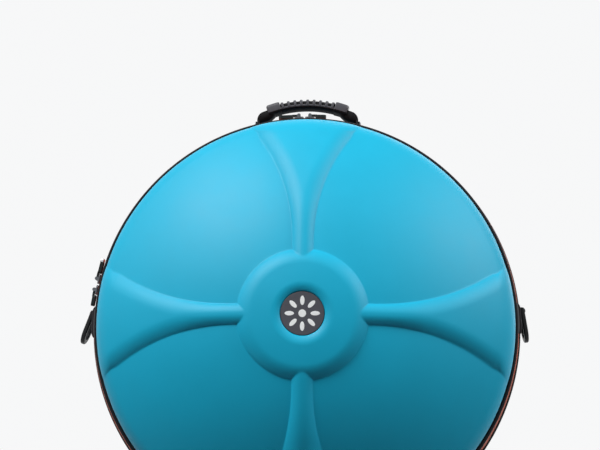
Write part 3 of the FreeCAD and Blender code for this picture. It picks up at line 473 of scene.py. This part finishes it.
def add_floor():
    """A frosted glass top: it takes the shadow, and the lid shows through it when it swings below."""
    floor = make_mesh("studio_floor", [(-6, -5, 0), (6, -5, 0), (6, 6, 0), (-6, 6, 0)], [(0, 1, 2, 3)])
    n = Nodes("studio_floor")
    n.set(Base_Color=FLOOR_GREY, Roughness=n.math("ADD", n.math("MULTIPLY", n.noise(0.8, 2.0), 0.1), 0.85))
    bounce = n.new("ShaderNodeBsdfDiffuse", Color=FLOOR_BOUNCE).outputs["BSDF"]
    far = n.new("ShaderNodeEmission", Color=STUDIO_WHITE).outputs["Emission"]
    clear = n.new("ShaderNodeBsdfTransparent").outputs["BSDF"]
    where = n.new("ShaderNodeTexCoord")
    reach = n.new("ShaderNodeVectorMath")
    reach.operation = "LENGTH"
    n.tree.links.new(where.outputs["Object"], reach.inputs[0])
    away = n.math("MULTIPLY", n.math("SUBTRACT", reach.outputs["Value"], SWEEP_FROM), SWEEP_RATE)
    sweep = n.math("MINIMUM", n.math("MAXIMUM", away, 0.0), 1.0)
    top = mixed(n.tree, FROST, mixed(n.tree, sweep, n.shader.outputs["BSDF"], far), clear)
    shadow_ray = n.new("ShaderNodeLightPath").outputs["Is Shadow Ray"]
    surface = mixed(n.tree, shadow_ray, camera_only(n.tree, top, bounce), clear)
    n.tree.links.new(surface, n.output.inputs["Surface"])
    floor.data.materials.append(n.material)


def add_world():
    """White behind the object, and hardly any light from the sky."""
    world = bpy.data.worlds.new("studio")
    bpy.context.scene.world = world
    world.use_nodes = True
    tree = world.node_tree
    tree.nodes.clear()
    output = tree.nodes.new("ShaderNodeOutputWorld")
    seen = tree.nodes.new("ShaderNodeBackground")
    seen.inputs["Color"].default_value = STUDIO_WHITE
    lit = tree.nodes.new("ShaderNodeBackground")
    coordinates = tree.nodes.new("ShaderNodeTexCoord")
    split = tree.nodes.new("ShaderNodeSeparateXYZ")
    tree.links.new(coordinates.outputs["Generated"], split.inputs["Vector"])
    rise = tree.nodes.new("ShaderNodeMath")
    rise.operation = "MULTIPLY_ADD"
    tree.links.new(split.outputs["Z"], rise.inputs[0])
    rise.inputs[1].default_value = rise.inputs[2].default_value = 0.5
    ramp = tree.nodes.new("ShaderNodeValToRGB")
    tree.links.new(rise.outputs[0], ramp.inputs["Fac"])
    set_stops(ramp, [(position, (level, level, level, 1.0)) for position, level in SKY])
    tree.links.new(ramp.outputs["Color"], lit.inputs["Color"])
    tree.links.new(camera_only(tree, seen.outputs["Background"], lit.outputs["Background"]),
                   output.inputs["Surface"])


def add_stage():
    add_floor()
    add_world()
    for name, settings in LAMPS.items():
        add_lamp(name, *settings)
    bpy.context.scene.view_settings.view_transform = "Standard"


# ---------------------------------------------------------------- the moulded shells

def quarter_angles():
    """Angles round the rim, closer together over the arms' edges than in the middle of a panel."""
    edges = np.concatenate([np.linspace(0, 26, 79)[:-1], np.linspace(26, 64, 23)[:-1],
                            np.linspace(64, 90, 79)[:-1]])
    return np.radians(np.concatenate([edges + 90 * k for k in range(4)]))


def shell_rings(profile):
    """Normal angles of the rings, closest at the badge seat and the boss."""
    radii = np.concatenate([[8, 18, 27], [30.2], np.arange(30.5, 45, 1.2), np.arange(47, 62, 3.5),
                            np.arange(64, 85, 1.8), np.arange(85.8, 91, 0.8), np.arange(92, 132, 2.6),
                            np.arange(134, profile.sweep * math.sin(profile.tangent), 4.6)])
    crown = [profile.normal_at(r) for r in radii]
    shoulder = np.linspace(profile.tangent, math.pi / 2, 30)
    return np.concatenate([crown, shoulder])


def dome_skin(name, rings, angles, top, facing, material):
    """A skin from rings of (radius, height), each one number or one per angle, closed at the top."""
    columns = len(angles)
    rows = [np.stack([radius * np.cos(angles), radius * np.sin(angles), height + 0 * angles], axis=1)
            for radius, height in rings]
    points = np.concatenate(rows + [np.array([[0, 0, top]])])
    hub = len(points) - 1
    faces = grid_faces(len(rows), columns) + [(hub, j, (j + 1) % columns) for j in range(columns)]
    return outward(make_mesh(name, place(points, facing), faces, material))


def make_shell(facing):
    """The turquoise outside of a half, with the moulded relief, its rim and the rim's edge."""
    rim, crown = RIM[facing] - PIPING_ROOM[facing], CROWN[facing]
    arm_level = Profile(rim, crown, ARM_SHOULDER)
    panel_level = Profile(rim - PANEL_INSET, crown - PANEL_DROP, PANEL_SHOULDER)
    normals, angles = shell_rings(arm_level), quarter_angles()
    arm_r, arm_h = arm_level.at(normals)
    panel_r, panel_h = panel_level.at(normals)
    share = relief_share(np.outer(arm_r, np.cos(angles)), np.outer(arm_r, np.sin(angles)))
    r = panel_r[:, None] * (1 - share) + arm_r[:, None] * share
    h = panel_h[:, None] * (1 - share) + arm_h[:, None] * share
    if facing == FRONT:
        fall = np.clip((BADGE_EDGE + DISH_WIDTH - r) / DISH_WIDTH, 0.0, 1.0)
        h = np.where(r < BADGE_EDGE, BADGE_FLOOR, h - DISH_DEPTH * fall ** 2.2)
    edge = (rim - PANEL_INSET) * (1 - share[-1]) + rim * share[-1]
    rings = list(zip(r, h)) + [(edge, 4.0), (edge, 0.3), (edge - 0.6, 0.0), (RIM[facing] - LINING_INSET, 0.0)]
    shell = dome_skin(f"{NAME[facing]}_shell_cloth", rings, angles, h[0].mean(), facing, SHELL)
    rides(shell, BODY[facing], (f"{NAME[facing]}_shell",))


def make_lining(facing):
    """The plain brushed lining inside a half."""
    level = Profile(RIM[facing] - LINING_INSET, CROWN[facing] - LINING_DROP, LINING_SHOULDER)
    normals = np.concatenate([[level.normal_at(r) for r in np.arange(6, 250, 6.0)],
                              np.linspace(level.tangent, math.pi / 2, 16)])
    rings = list(zip(*level.at(normals)))
    rings.append((rings[-1][0], 0.0))
    angles = np.linspace(0, TAU, 288, endpoint=False)
    lining = dome_skin(f"{NAME[facing]}_lining", rings, angles, level.crown, facing, LINING)
    rides(lining, BODY[facing])


# ---------------------------------------------------------------- rim trim

HINGE_HALF = 14.0
RIM_START, RIM_STOP = 270.0 + HINGE_HALF, 630.0 - HINGE_HALF
# The piping's bead: its radius, and its centre's place beyond the rim and above its edge.
BEAD = {FRONT: (3.0, 1.45, 1.9), BACK: (2.9, 2.7, 1.5)}
COIL_INNER, COIL_CORD, COIL_PEAK = 303.2, 306.9, 307.5
COIL_LOW, COIL_HIGH = -13.9, -17.4
# How many teeth a half has, their distance from the parting plane, and their shift in degrees.
TEETH, TOOTH_Y, TOOTH_SHIFT = 732, 2.35, 0.11
STITCH_PITCH = 3.6
# The rows of stitches: distance from the parting plane, and for the binding also its place beyond the rim.
TAPE_ROWS, BINDING_ROW = (("outer", 14.6), ("inner", 5.7)), (22.0, 1.9)
# The tape's outer face: its radius beside the coil, how far it ends beyond a shell's rim, and its extent.
TAPE_RADIUS, TAPE_BEYOND, TAPE_FROM, TAPE_WIDTH = 306.5, 2.5, 4.2, 12.3
# Half lengths, half widths and heights of a tooth, a rim stitch and a stitch of the harness.
TOOTH, RIM_STITCH, SEAM_STITCH = (1.75, 0.85, COIL_PEAK - COIL_CORD), (1.25, 0.3, 0.32), (1.15, 0.3, 0.3)
# A patch: half its extent in degrees, and its section from the coil to the piping (place, share of height).
PATCH_HALF = 4.4
PATCH_SECTION = ((6.3, 0.0), (6.3, 0.75), (7.6, 1.0), (14.6, 1.0), (15.8, 0.8), (16.3, 0.0))
PATCH_THIN, PATCH_SLOPE = 0.9, 0.14
PATCHES = (("left", 179.0, 313.2), ("right", 2.2, 312.4))


def ring_sweep(name, section, facing, material, start=0.0, stop=360.0):
    """A closed section of (radius, height) points carried round the rim, in 480 steps."""
    whole = stop - start >= 360.0
    angles = np.radians(np.linspace(start, stop, 480, endpoint=not whole))
    r, h = np.array(section).T
    points = np.concatenate([np.stack([r * math.cos(a), r * math.sin(a), h], axis=1) for a in angles])
    faces = grid_faces(len(angles), len(section), wrap_rows=whole)
    if not whole:
        faces += end_caps(len(angles), len(section))
    return outward(make_mesh(name, place(points, facing), faces, material))


def make_piping(facing):
    """The rolled edge binding: a corded bead along the shell's rim."""
    bead, beyond, above = BEAD[facing]
    section = [(RIM[facing] + beyond + bead * math.cos(angle), above + bead * 1.15 * math.sin(angle))
               for angle in np.linspace(0, TAU, 14, endpoint=False)]
    piping = ring_sweep(f"{NAME[facing]}_piping", section, facing, BINDING)
    rides(piping, BODY[facing], (f"{NAME[facing]}_binding",))


def rim_point(radius, angle, y):
    """Points over the rim's circle, in metres; the angle is from +x upwards."""
    radius, angle, y = np.broadcast_arrays(radius, angle, y)
    return np.stack([radius * np.cos(angle), y, CENTRE_Z / MM + radius * np.sin(angle)], axis=-1) * MM


def small_bars(name, centres, along, up, size, material):
    """Many short rounded bars lying on a surface, as one piece: zip teeth and stitches."""
    half_length, half_width, height = size
    along, up = np.broadcast_to(along, centres.shape), np.broadcast_to(up, centres.shape)
    across = np.cross(up, along)
    points = []
    for share, level in ((-1.0, 0.4), (-0.7, 1.0), (0.7, 1.0), (1.0, 0.4)):
        for turn in np.linspace(0, math.pi, 5):
            side = half_width * math.cos(turn) * (0.6 + 0.4 * level)
            points.append(centres + (along * share * half_length + across * side
                                     + up * height * level * math.sin(turn)) * MM)
    points = np.stack(points, axis=1).reshape(-1, 3)
    bar = grid_faces(4, 5) + end_caps(4, 5)
    faces = [tuple(20 * index + i for i in face) for index in range(len(centres)) for face in bar]
    return outward(make_mesh(name, points, faces, material))


def radial(angles):
    return np.stack([np.cos(angles), 0 * angles, np.sin(angles)], axis=-1)


def tangential(angles):
    return np.stack([-np.sin(angles), 0 * angles, np.cos(angles)], axis=-1)


def make_zip_coil(facing):
    """The coil: a core with a close row of loops over it, half a pitch apart on the two halves."""
    name = NAME[facing]
    first, last = RIM_START + 0.3, RIM_STOP - 0.3
    section = [(COIL_INNER, COIL_LOW), (COIL_CORD, COIL_LOW), (COIL_CORD, COIL_HIGH), (COIL_INNER, COIL_HIGH)]
    core = ring_sweep(f"{name}_coil_core", section, facing, COIL, first, last)
    rides(core, BODY[facing], (f"{name}_zip_coil",))
    angles = np.radians(np.linspace(first, last, TEETH) - TOOTH_SHIFT * facing)
    teeth = small_bars(f"{name}_zip_teeth", rim_point(COIL_CORD, angles, facing * TOOTH_Y), (0.0, 1.0, 0.0),
                       radial(angles), TOOTH, COIL)
    rides(teeth, BODY[facing])


def tape_radius(facing, y):
    """The outer face of the zip tape, at that distance from the parting plane."""
    return TAPE_RADIUS + (RIM[facing] + TAPE_BEYOND - TAPE_RADIUS) * (abs(y) - TAPE_FROM) / TAPE_WIDTH


def stitch_row(name, facing, radius, y, start, stop, material, on_tape=True):
    """Stitches round the rim: on the tape they face outwards, on the binding along the case's axis."""
    angles = np.radians(np.arange(start, stop, math.degrees(STITCH_PITCH / radius)))
    up = radial(angles) if on_tape else (0.0, float(facing), 0.0)
    row = small_bars(name, rim_point(radius, angles, y), tangential(angles), up, RIM_STITCH, material)
    rides(row, BODY[facing])


def make_rim_stitches(facing):
    name = NAME[facing]
    for word, y in TAPE_ROWS:
        stitch_row(f"{name}_tape_stitches_{word}", facing, tape_radius(facing, y), facing * y,
                   RIM_START + 0.6, RIM_STOP - 0.6, RUST_THREAD)
    y, beyond = BINDING_ROW
    stitch_row(f"{name}_binding_stitches", facing, RIM[facing] + beyond, facing * y, 0.0, 360.0,
               THREAD, on_tape=False)


def make_rim_patches(facing):
    """Sewn reinforcements over the tapes beside each side anchor: thin on the lid, padded on the back."""
    for hand, middle, reach in PATCHES:
        rows = []
        for share in np.linspace(-1, 1, 33):
            swell = (1 - abs(share) ** 6) ** 0.5
            ring = []
            for y, level in PATCH_SECTION:
                base = tape_radius(facing, y)
                thin = base + PATCH_THIN + PATCH_SLOPE * (PATCH_SECTION[-1][0] - y)
                top = thin if facing == FRONT else reach
                ring.append((base + 0.05 + (top - base) * level * swell, facing * y))
            radii, ys = np.array(ring).T
            rows.append(rim_point(radii, math.radians(middle + PATCH_HALF * share), ys) / MM)
        rides(loft(f"{NAME[facing]}_rim_patch_{hand}", rows, WEBBING), BODY[facing])


# ---------------------------------------------------------------- badge

# The print's foot, shoulder and face: height over the rim's edge, and size.
PRINT_LEVELS = ((139.48, 1.0), (139.66, 1.0), (139.72, 0.93))
PRINT_STEPS = 28
# The dot's radius, the radius of the ring of ovals, and an oval's half length and half width.
DOT, OVAL_RING, OVAL = 5.2, 17.5, (6.4, 3.0)


def make_badge_print():
    """A plain printed motif: small ovals round a dot."""
    points, faces = [], []
    steps = np.linspace(0, TAU, PRINT_STEPS, endpoint=False)

    def oval(cx, cy, a, b, turn):
        first = len(points)
        for level, size in PRINT_LEVELS:
            for step in steps:
                x, y = a * size * math.cos(step), b * size * math.sin(step)
                points.append((cx + x * math.cos(turn) - y * math.sin(turn),
                               cy + x * math.sin(turn) + y * math.cos(turn), level))
        rows = len(PRINT_LEVELS)
        for face in grid_faces(rows, PRINT_STEPS) + end_caps(rows, PRINT_STEPS):
            faces.append(tuple(first + i for i in face))

    oval(0, 0, DOT, DOT, 0)
    for turn in np.linspace(0, TAU, 8, endpoint=False):
        oval(OVAL_RING * math.cos(turn), OVAL_RING * math.sin(turn), *OVAL, turn)
    printed = outward(make_mesh("badge_motif", place(points, FRONT), faces, BADGE_PRINT, smooth=False))
    rides(printed, "lid")


# ---------------------------------------------------------------- carrying handle

# The grip is an arch about this centre (across, depth, up). Its angles count from straight up, in degrees.
GRIP_CENTRE = (0.0, 34.0, 489.5)
UNDERSIDE, RIB_TOP = 155.6, 172.0
RIB_PITCH, CUFF_START, BEVEL_START, GRIP_END = 3.3, 14.5, 20.5, 21.35
RIB_HALF_DEPTH, CUFF_HALF_DEPTH = 14.9, 15.6
# A groove between ribs: where its side starts and how long that is, in pitches, its depth in the middle, how
# much deeper it is at the grip's sides, and how far it draws the sides in.
GROOVE_FROM, GROOVE_SIDE, GROOVE_DEPTH, GROOVE_SCOOP, GROOVE_WAIST = 0.15, 0.13, 1.5, 3.0, 0.26
# A cuff's height over the ribs and how far it takes to rise, in degrees, and what its bevel takes off.
CUFF_LIFT, CUFF_RISE, BEVEL_HEIGHT, BEVEL_DEPTH = 0.9, 0.5, 0.16, 0.1
# Below this share of its half height the grip's underside gets painted shade: the darker copy of the rubber.
SHADE_BELOW = -0.45
STRAP_RADIUS, RUN_OUT, BEND = 163.25, 9.5, 10.0
GRIP_LEAN = math.radians(21.0)
# The handle end's outline on its inner side (across, up), from its foot to the cuff.
END_INSIDE = ((60.5, 627.2), (54.0, 630.6), (48.8, 636.0), (46.4, 640.6), (47.5, 643.4))
# Its wall over the strap, its half depth at the cuff, how much that narrows downwards, from which height and
# over how far.
END_WALL, END_WIDE, END_TAPER, TAPER_FROM, TAPER_RUN = 2.3, 12.6, 5.4, 641.0, 17.0


def loft(name, rows, material, face_material=None):
    """Skins rings of points, in millimetres, and closes both ends."""
    rows = [np.asarray(row, float) for row in rows]
    size = len(rows), len(rows[0])
    return outward(make_mesh(name, np.concatenate(rows) * MM, grid_faces(*size) + end_caps(*size), material,
                             face_material=face_material))


def superellipse(half_a, half_b, power, count):
    angles = np.linspace(0, TAU, count, endpoint=False)
    cosine, sine = np.cos(angles), np.sin(angles)
    a = half_a * np.sign(cosine) * np.abs(cosine) ** (2 / power)
    b = half_b * np.sign(sine) * np.abs(sine) ** (2 / power)
    return a, b


def arch_point(radius, angle, depth):
    """Points over the grip's arc centre; the angle is from straight up, towards the right."""
    x, y, z = GRIP_CENTRE
    return np.stack([x + radius * np.sin(angle), y + depth, z + radius * np.cos(angle)], axis=-1)


def make_grip():
    """Moulded rubber grip: nine ribs that wrap over both upper edges, between two plain cuffs; the grooves
    and the underside take the darker rubber as painted shade.
    """
    pitch, cuff_start, bevel_start, end = np.radians((RIB_PITCH, CUFF_START, BEVEL_START, GRIP_END))
    angles = np.concatenate([np.linspace(-end, -cuff_start, 22)[:-1],
                             np.linspace(-cuff_start, cuff_start, 260), np.linspace(cuff_start, end, 22)[1:]])
    middle, half_height = (UNDERSIDE + RIB_TOP) / 2, (RIB_TOP - UNDERSIDE) / 2
    rows, painted_shade = [], []
    for angle in angles:
        near = abs(angle)
        on_cuff = near >= cuff_start
        half_depth, power = (CUFF_HALF_DEPTH, 4.0) if on_cuff else (RIB_HALF_DEPTH, 2.5)
        depth, height = superellipse(half_depth, half_height, power, 56)
        rise = height / half_height
        if on_cuff:
            bevel = eased((near - bevel_start) / (end - bevel_start))
            lift = CUFF_LIFT * eased((near - cuff_start) / math.radians(CUFF_RISE))
            radius = middle + height * (1 - BEVEL_HEIGHT * bevel) + lift * np.clip(rise, 0, 1)
            depth = depth * (1 - BEVEL_DEPTH * bevel)
            painted_shade.append(rise < SHADE_BELOW)
        else:
            phase = abs((angle / pitch + 0.5) % 1.0 - 0.5)
            groove = eased((phase - GROOVE_FROM) / GROOVE_SIDE) * eased((rise + 0.3) / 0.4)
            cut = GROOVE_DEPTH + GROOVE_SCOOP * (depth / half_depth) ** 2
            radius = middle + height - cut * groove * np.clip(rise, 0, 1) ** 0.5
            depth = depth * (1 - GROOVE_WAIST * groove)
            painted_shade.append((groove > 0.4) | (rise < SHADE_BELOW))
        rows.append(arch_point(radius, angle, depth))
    # Faces in the grooves and on the underside take the darker rubber: painted shade.
    shaded = np.concatenate([np.array(painted_shade)[:-1].ravel(), [False, False]])
    grip = loft("handle_grip_moulding", rows, (RUBBER, SHADE_AND_DARK_RUBBER), face_material=shaded)
    rides(grip, "handle", ("handle_grip",))


def strap_path():
    """Centre line of the strap's right end: points and outward directions, from the cuff down the bend."""
    x, _, z = GRIP_CENTRE
    points = []
    for angle in np.linspace(math.radians(19.0), GRIP_LEAN, 3)[:-1]:
        points.append((STRAP_RADIUS * math.sin(angle), STRAP_RADIUS * math.cos(angle), angle))
    top_x, top_z = STRAP_RADIUS * math.sin(GRIP_LEAN), STRAP_RADIUS * math.cos(GRIP_LEAN)
    for run in np.linspace(0, RUN_OUT, 4)[:-1]:
        points.append((top_x + run * math.cos(GRIP_LEAN), top_z - run * math.sin(GRIP_LEAN), GRIP_LEAN))
    foot_x = top_x + RUN_OUT * math.cos(GRIP_LEAN) + BEND * (1 - math.sin(GRIP_LEAN))
    foot_z = top_z - RUN_OUT * math.sin(GRIP_LEAN) - BEND * math.cos(GRIP_LEAN)
    for angle in np.linspace(GRIP_LEAN, math.pi / 2, 9):
        points.append((foot_x - BEND + BEND * math.sin(angle), foot_z + BEND * math.cos(angle), angle))
    return [(x + a, z + b, angle) for a, b, angle in points]


def make_handle_end(side, hand):
    """The moulded end of the grip: it closes round the strap's bend and tapers to its rivet."""
    outer = [(a + END_WALL * math.sin(t), b + END_WALL * math.cos(t)) for a, b, t in strap_path()]
    foot_x, foot_z = outer[-1]
    outline = np.array(outer + [(foot_x - 0.6, foot_z - 2.4), (foot_x - 4.8, foot_z - 4.2), *END_INSIDE])
    centre = outline.mean(axis=0)
    width = END_WIDE - END_TAPER * eased((TAPER_FROM - outline[:, 1]) / TAPER_RUN)
    levels = []
    for step in np.linspace(-1, 1, 11):
        x, z = (centre + (outline - centre) * (1 - 0.14 * abs(step) ** 4)).T
        levels.append(np.stack([side * x, GRIP_CENTRE[1] + step * width, z], axis=1))
    # The ends take the darker rubber as their own colour.
    rides(loft(f"handle_end_{hand}", levels, SHADE_AND_DARK_RUBBER), "handle")


# ---------------------------------------------------------------- pull tips

# A ferrule's section along the pull (place from the pull's end, size), and its wall.
FERRULE, FERRULE_WALL = ((-5.0, 0.9), (-4.6, 1.0), (-0.5, 1.0), (0.15, 0.82)), 0.3


def node_points(node):
    """A CAD node's points in the case's frame, in millimetres."""
    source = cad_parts[node]
    return np.array([source.matrix_world @ v.co for v in source.data.vertices]) / MM


def make_pull_tip(spot):
    """A metal ferrule closed over the free end of a pull."""
    points = node_points(f"pull_{spot}")
    middle = points.mean(axis=0)
    across = np.array([0.0, 1.0, 0.0])
    _, _, axes = np.linalg.svd((points - middle) * (1.0 - across), full_matrices=False)
    away = middle - node_points(f"slider_{spot}").mean(axis=0)
    run = axes[0] * (1.0 if away @ axes[0] > 0 else -1.0)
    thin = np.cross(run, across)
    reach = ((points - middle) @ run).max()
    end = points[(points - middle) @ run > reach - 6.0]
    level = (end - middle) @ thin
    half, offset = (level.max() - level.min()) / 2, (level.max() + level.min()) / 2
    width = np.abs(end[:, 1]).max()
    rows = []
    for along, size in FERRULE:
        a, b = superellipse((width + FERRULE_WALL) * size, (half + FERRULE_WALL) * size, 5.0, 32)
        rows.append(middle + run * (reach + along) + np.outer(a, across) + np.outer(b + offset, thin)
                    - across * middle[1])
    rides(loft(f"pull_tip_{spot}", rows, PULL_TIP), f"pull_{spot}")


# ---------------------------------------------------------------- harness and foam, as soft goods

# Each skin with its points at rest, how free each point is, and how far it may move in metres.
SOFT = []
# The remesh's voxels in metres, and the cloth's pressure, quality and last frame.
VOXEL, PRESSURE, QUALITY, SETTLED_FRAME = 0.005, 4.0, 5, 20
PAD_LEAN = math.radians(9.0)
PAD_ACROSS, PAD_UP = 64.0, CENTRE_Z / MM + 20.0
PAD_SIZE = (62.0, 236.0, 26.0)
# The piping's radius, which is also its place inside the pad's edge, and how far it sinks into the pad.
PIPING_RADIUS, PIPING_SINK = 1.9, 1.3
CHANNELS, CHANNEL_WIDTH, CHANNEL_DEPTH = (-78.0, -39.0, 0.0, 39.0, 78.0), 3.2, 2.6
YOKE_CENTRE, YOKE_SIZE = (0.0, CENTRE_Z / MM + 148.0), (118.0, 52.0, 12.0)
TAB_ACROSS, TAB_UP, TAB_SIZE = 106.0, CENTRE_Z / MM - 211.0, (52.0, 34.0, 8.0)


def node_mesh(node):
    """A copy of a CAD node's mesh in the case's frame."""
    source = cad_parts[node]
    mesh = source.data.copy()
    mesh.transform(source.matrix_world)
    return mesh


def soft_skin(name, node, material, shrink, cap, held):
    """A cloth skin in a CAD solid's space; held tells how much each point stays where it rests."""
    mesh = node_mesh(node)
    mesh.materials.clear()
    mesh.materials.append(material)
    obj = bpy.data.objects.new(name, mesh)
    bpy.context.collection.objects.link(obj)
    modifier(obj, "REMESH", mode="VOXEL", voxel_size=VOXEL, use_smooth_shade=True)
    settle(obj)
    points, normals = point_arrays(obj)
    freedom = 1.0 - held(points / MM, normals)
    points = points - normals * (shrink * MM * freedom)[:, None]
    put_points(obj, points)
    cloth = modifier(obj, "CLOTH")
    cloth.settings.quality = QUALITY
    cloth.settings.use_pressure = True
    cloth.settings.uniform_pressure_force = PRESSURE
    cloth.settings.effector_weights.gravity = 0.0
    SOFT.append((obj, points, freedom, cap * MM))
    return obj


def settle(obj):
    """Replaces the piece's mesh by what its modifiers give."""
    bpy.context.view_layer.update()
    made = bpy.data.meshes.new_from_object(obj.evaluated_get(bpy.context.evaluated_depsgraph_get()))
    obj.modifiers.clear()
    obj.data = made


def point_arrays(obj):
    """A piece's points and their normals."""
    count = len(obj.data.vertices)
    points, normals = np.empty(count * 3), np.empty(count * 3)
    obj.data.vertices.foreach_get("co", points)
    obj.data.vertices.foreach_get("normal", normals)
    return points.reshape(-1, 3), normals.reshape(-1, 3)


def put_points(obj, points):
    obj.data.vertices.foreach_set("co", points.ravel())
    obj.data.update()


def inflate():
    """Blows all skins up together, holds each point within its cap, and smooths the result."""
    scene = bpy.context.scene
    for step in range(1, SETTLED_FRAME + 1):
        scene.frame_set(step)
    for obj, start, freedom, cap in SOFT:
        settle(obj)
        move = point_arrays(obj)[0] - start
        length = np.linalg.norm(move, axis=1).clip(1e-9)
        put_points(obj, start + move * (np.minimum(length, cap) / length * freedom)[:, None])
        modifier(obj, "SUBSURF", levels=1, render_levels=1)
        settle(obj)
    scene.frame_set(1)


def surface_of(node):
    """A CAD node's surface, for rays."""
    mesh = node_mesh(node)
    tree = BVHTree.FromPolygons([v.co.copy() for v in mesh.vertices],
                                [tuple(face.vertices) for face in mesh.polygons])
    bpy.data.meshes.remove(mesh)
    return tree


def onto(tree, plan):
    """Drops plan points (x, z in millimetres) onto a surface from behind the case: points and normals."""
    points, normals = [], []
    for x, z in plan:
        hit, normal, *_ = tree.ray_cast(Vector((x * MM, 0.4, z * MM)), Vector((0, -1, 0)))
        if hit is not None:
            points.append(hit)
            normals.append(normal if normal.y > 0 else -normal)
    return np.array(points), np.array(normals)


def round_plan(centre, size, lean, inset, pitch=3.2):
    """Evenly spaced points round a rounded rectangle of that width, height and corner radius."""
    width, height, corner = size
    a, b, r = width / 2 - inset, height / 2 - inset, max(corner - inset, 0.8)
    dense = []
    for cx, cz, turn in ((a - r, b - r, 0), (r - a, b - r, 90), (r - a, r - b, 180), (a - r, r - b, 270)):
        for angle in np.radians(np.linspace(turn, turn + 90, 12)):
            dense.append((cx + r * math.cos(angle), cz + r * math.sin(angle)))
    dense = np.array(dense + dense[:1])
    steps = np.concatenate([[0], np.cumsum(np.linalg.norm(np.diff(dense, axis=0), axis=1))])
    along = np.linspace(0, steps[-1], int(round(steps[-1] / pitch)), endpoint=False)
    x, z = (np.interp(along, steps, dense[:, i]) for i in (0, 1))
    c, s = math.cos(lean), math.sin(lean)
    return np.stack([x * c - z * s, x * s + z * c], axis=1) + np.array(centre)


def sew(name, tree, plan):
    """A closed row of stitches along a plan, lying on the cloth."""
    points, normals = onto(tree, plan)
    along = np.roll(points, -1, axis=0) - points
    along /= np.linalg.norm(along, axis=1, keepdims=True).clip(1e-9)
    rides(small_bars(name, points, along, normals, SEAM_STITCH, THREAD), "back_half")


def cord_along(name, points, radius, material):
    """A closed round cord through the points, which are in metres."""
    ahead = np.roll(points, -1, axis=0) - np.roll(points, 1, axis=0)
    ahead /= np.linalg.norm(ahead, axis=1, keepdims=True)
    side = np.cross(ahead, np.array([0.0, 1.0, 0.0]))
    side /= np.linalg.norm(side, axis=1, keepdims=True)
    top = np.cross(side, ahead)
    rings = [points + (side * math.cos(t) + top * math.sin(t)) * radius * MM
             for t in np.linspace(0, TAU, 10, endpoint=False)]
    faces = grid_faces(len(points), len(rings), wrap_rows=True)
    return outward(make_mesh(name, np.stack(rings, axis=1).reshape(-1, 3), faces, material))


def on_the_case(_points, normals):
    """The underside of a back pad rests on the shell; its sides give a little."""
    return 1.0 - np.clip((normals[:, 1] + 0.35) / 0.7, 0, 1)


def against_the_wall(points, normals):
    """The foam's outer side is glued to the shell's wall and base; its inner faces are free."""
    out = np.stack([points[:, 0], 0 * points[:, 0], points[:, 2] - CENTRE_Z / MM], axis=1)
    out /= np.linalg.norm(out, axis=1, keepdims=True)
    return np.clip(((normals * out).sum(axis=1) + 0.1) / 0.5, 0, 1)


def make_shoulder_pad(side, hand):
    """A padded strap with a piped edge."""
    node = f"shoulder_pad_{hand}"
    pad = soft_skin(f"shoulder_pad_cloth_{hand}", node, MESH_CLOTH, 1.6, 3.2, on_the_case)
    rides(pad, "back_half", (node,))
    plan = round_plan((side * PAD_ACROSS, PAD_UP), PAD_SIZE, -side * PAD_LEAN, PIPING_RADIUS, 3.0)
    points, _ = onto(surface_of(node), plan)
    points[:, 1] -= PIPING_SINK * MM
    cord = cord_along(f"shoulder_pad_piping_{hand}", points, PIPING_RADIUS, BINDING)
    rides(cord, "back_half")
    return pad


def press_channels(pad, side):
    """Sewn channels across the pad, pressed into its upper face."""
    points, normals = point_arrays(pad)
    lean = -side * PAD_LEAN
    x, z = points[:, 0] / MM - side * PAD_ACROSS, points[:, 2] / MM - PAD_UP
    along = z * math.cos(lean) - x * math.sin(lean)
    upper = np.clip(normals[:, 1] * 1.6 - 0.3, 0, 1)
    pressed = np.max([np.exp(-((along - channel) / CHANNEL_WIDTH) ** 2) for channel in CHANNELS], axis=0)
    points[:, 1] -= CHANNEL_DEPTH * MM * pressed * upper
    put_points(pad, points)


def make_foam(facing):
    """The foam blocks that hold the instrument's rim in a half."""
    node = f"{NAME[facing]}_foam_pads"
    foam = soft_skin(f"{NAME[facing]}_foam_cloth", node, LINING, 1.2, 2.6, against_the_wall)
    rides(foam, BODY[facing], (node,))


def make_soft_goods():
    pads = [(make_shoulder_pad(side, hand), side) for side, hand in HANDS]
    make_foam(FRONT)
    make_foam(BACK)
    inflate()
    for pad, side in pads:
        press_channels(pad, side)
    yoke = surface_of("harness_yoke")
    for inset in (3.2, 7.0):
        sew(f"yoke_stitches_{inset:.0f}", yoke, round_plan(YOKE_CENTRE, YOKE_SIZE, 0.0, inset))
    for side, hand in HANDS:
        tab = surface_of(f"strap_tab_{hand}")
        for inset in (2.8, 6.0):
            plan = round_plan((side * TAB_ACROSS, TAB_UP), TAB_SIZE, -side * PAD_LEAN, inset)
            sew(f"tab_stitches_{hand}_{inset:.0f}", tab, plan)


add_camera()
add_stage()
for half in (FRONT, BACK):
    make_shell(half)
    make_lining(half)
    make_piping(half)
    make_zip_coil(half)
    make_rim_stitches(half)
    make_rim_patches(half)
make_badge_print()
make_grip()
for side, hand in HANDS:
    make_handle_end(side, hand)
make_soft_goods()
make_pull_tip("side_upper")

repaint(TAPE, "front_zip_tape", "back_zip_tape")
repaint(HINGE, "front_hinge_tape", "back_hinge_tape")
repaint(BADGE, "badge")
repaint(WEBBING, "handle_strap", "harness_yoke")
repaint(RIVET_METAL, "handle_rivets")
for _, hand in HANDS:
    repaint(WEBBING, f"strap_webbing_{hand}", f"strap_tab_{hand}")
    repaint(PLASTIC, f"handle_lug_{hand}", f"side_anchor_{hand}", f"d_ring_{hand}", f"ladder_lock_{hand}")
    repaint(FOOT_RUBBER, f"front_foot_{hand}", f"back_foot_{hand}")
for spot in ("top_left", "top_right", "side_upper", "side_lower"):
    repaint(SLIDER_METAL, f"slider_{spot}")
    repaint(PULL_TAB, f"pull_{spot}")
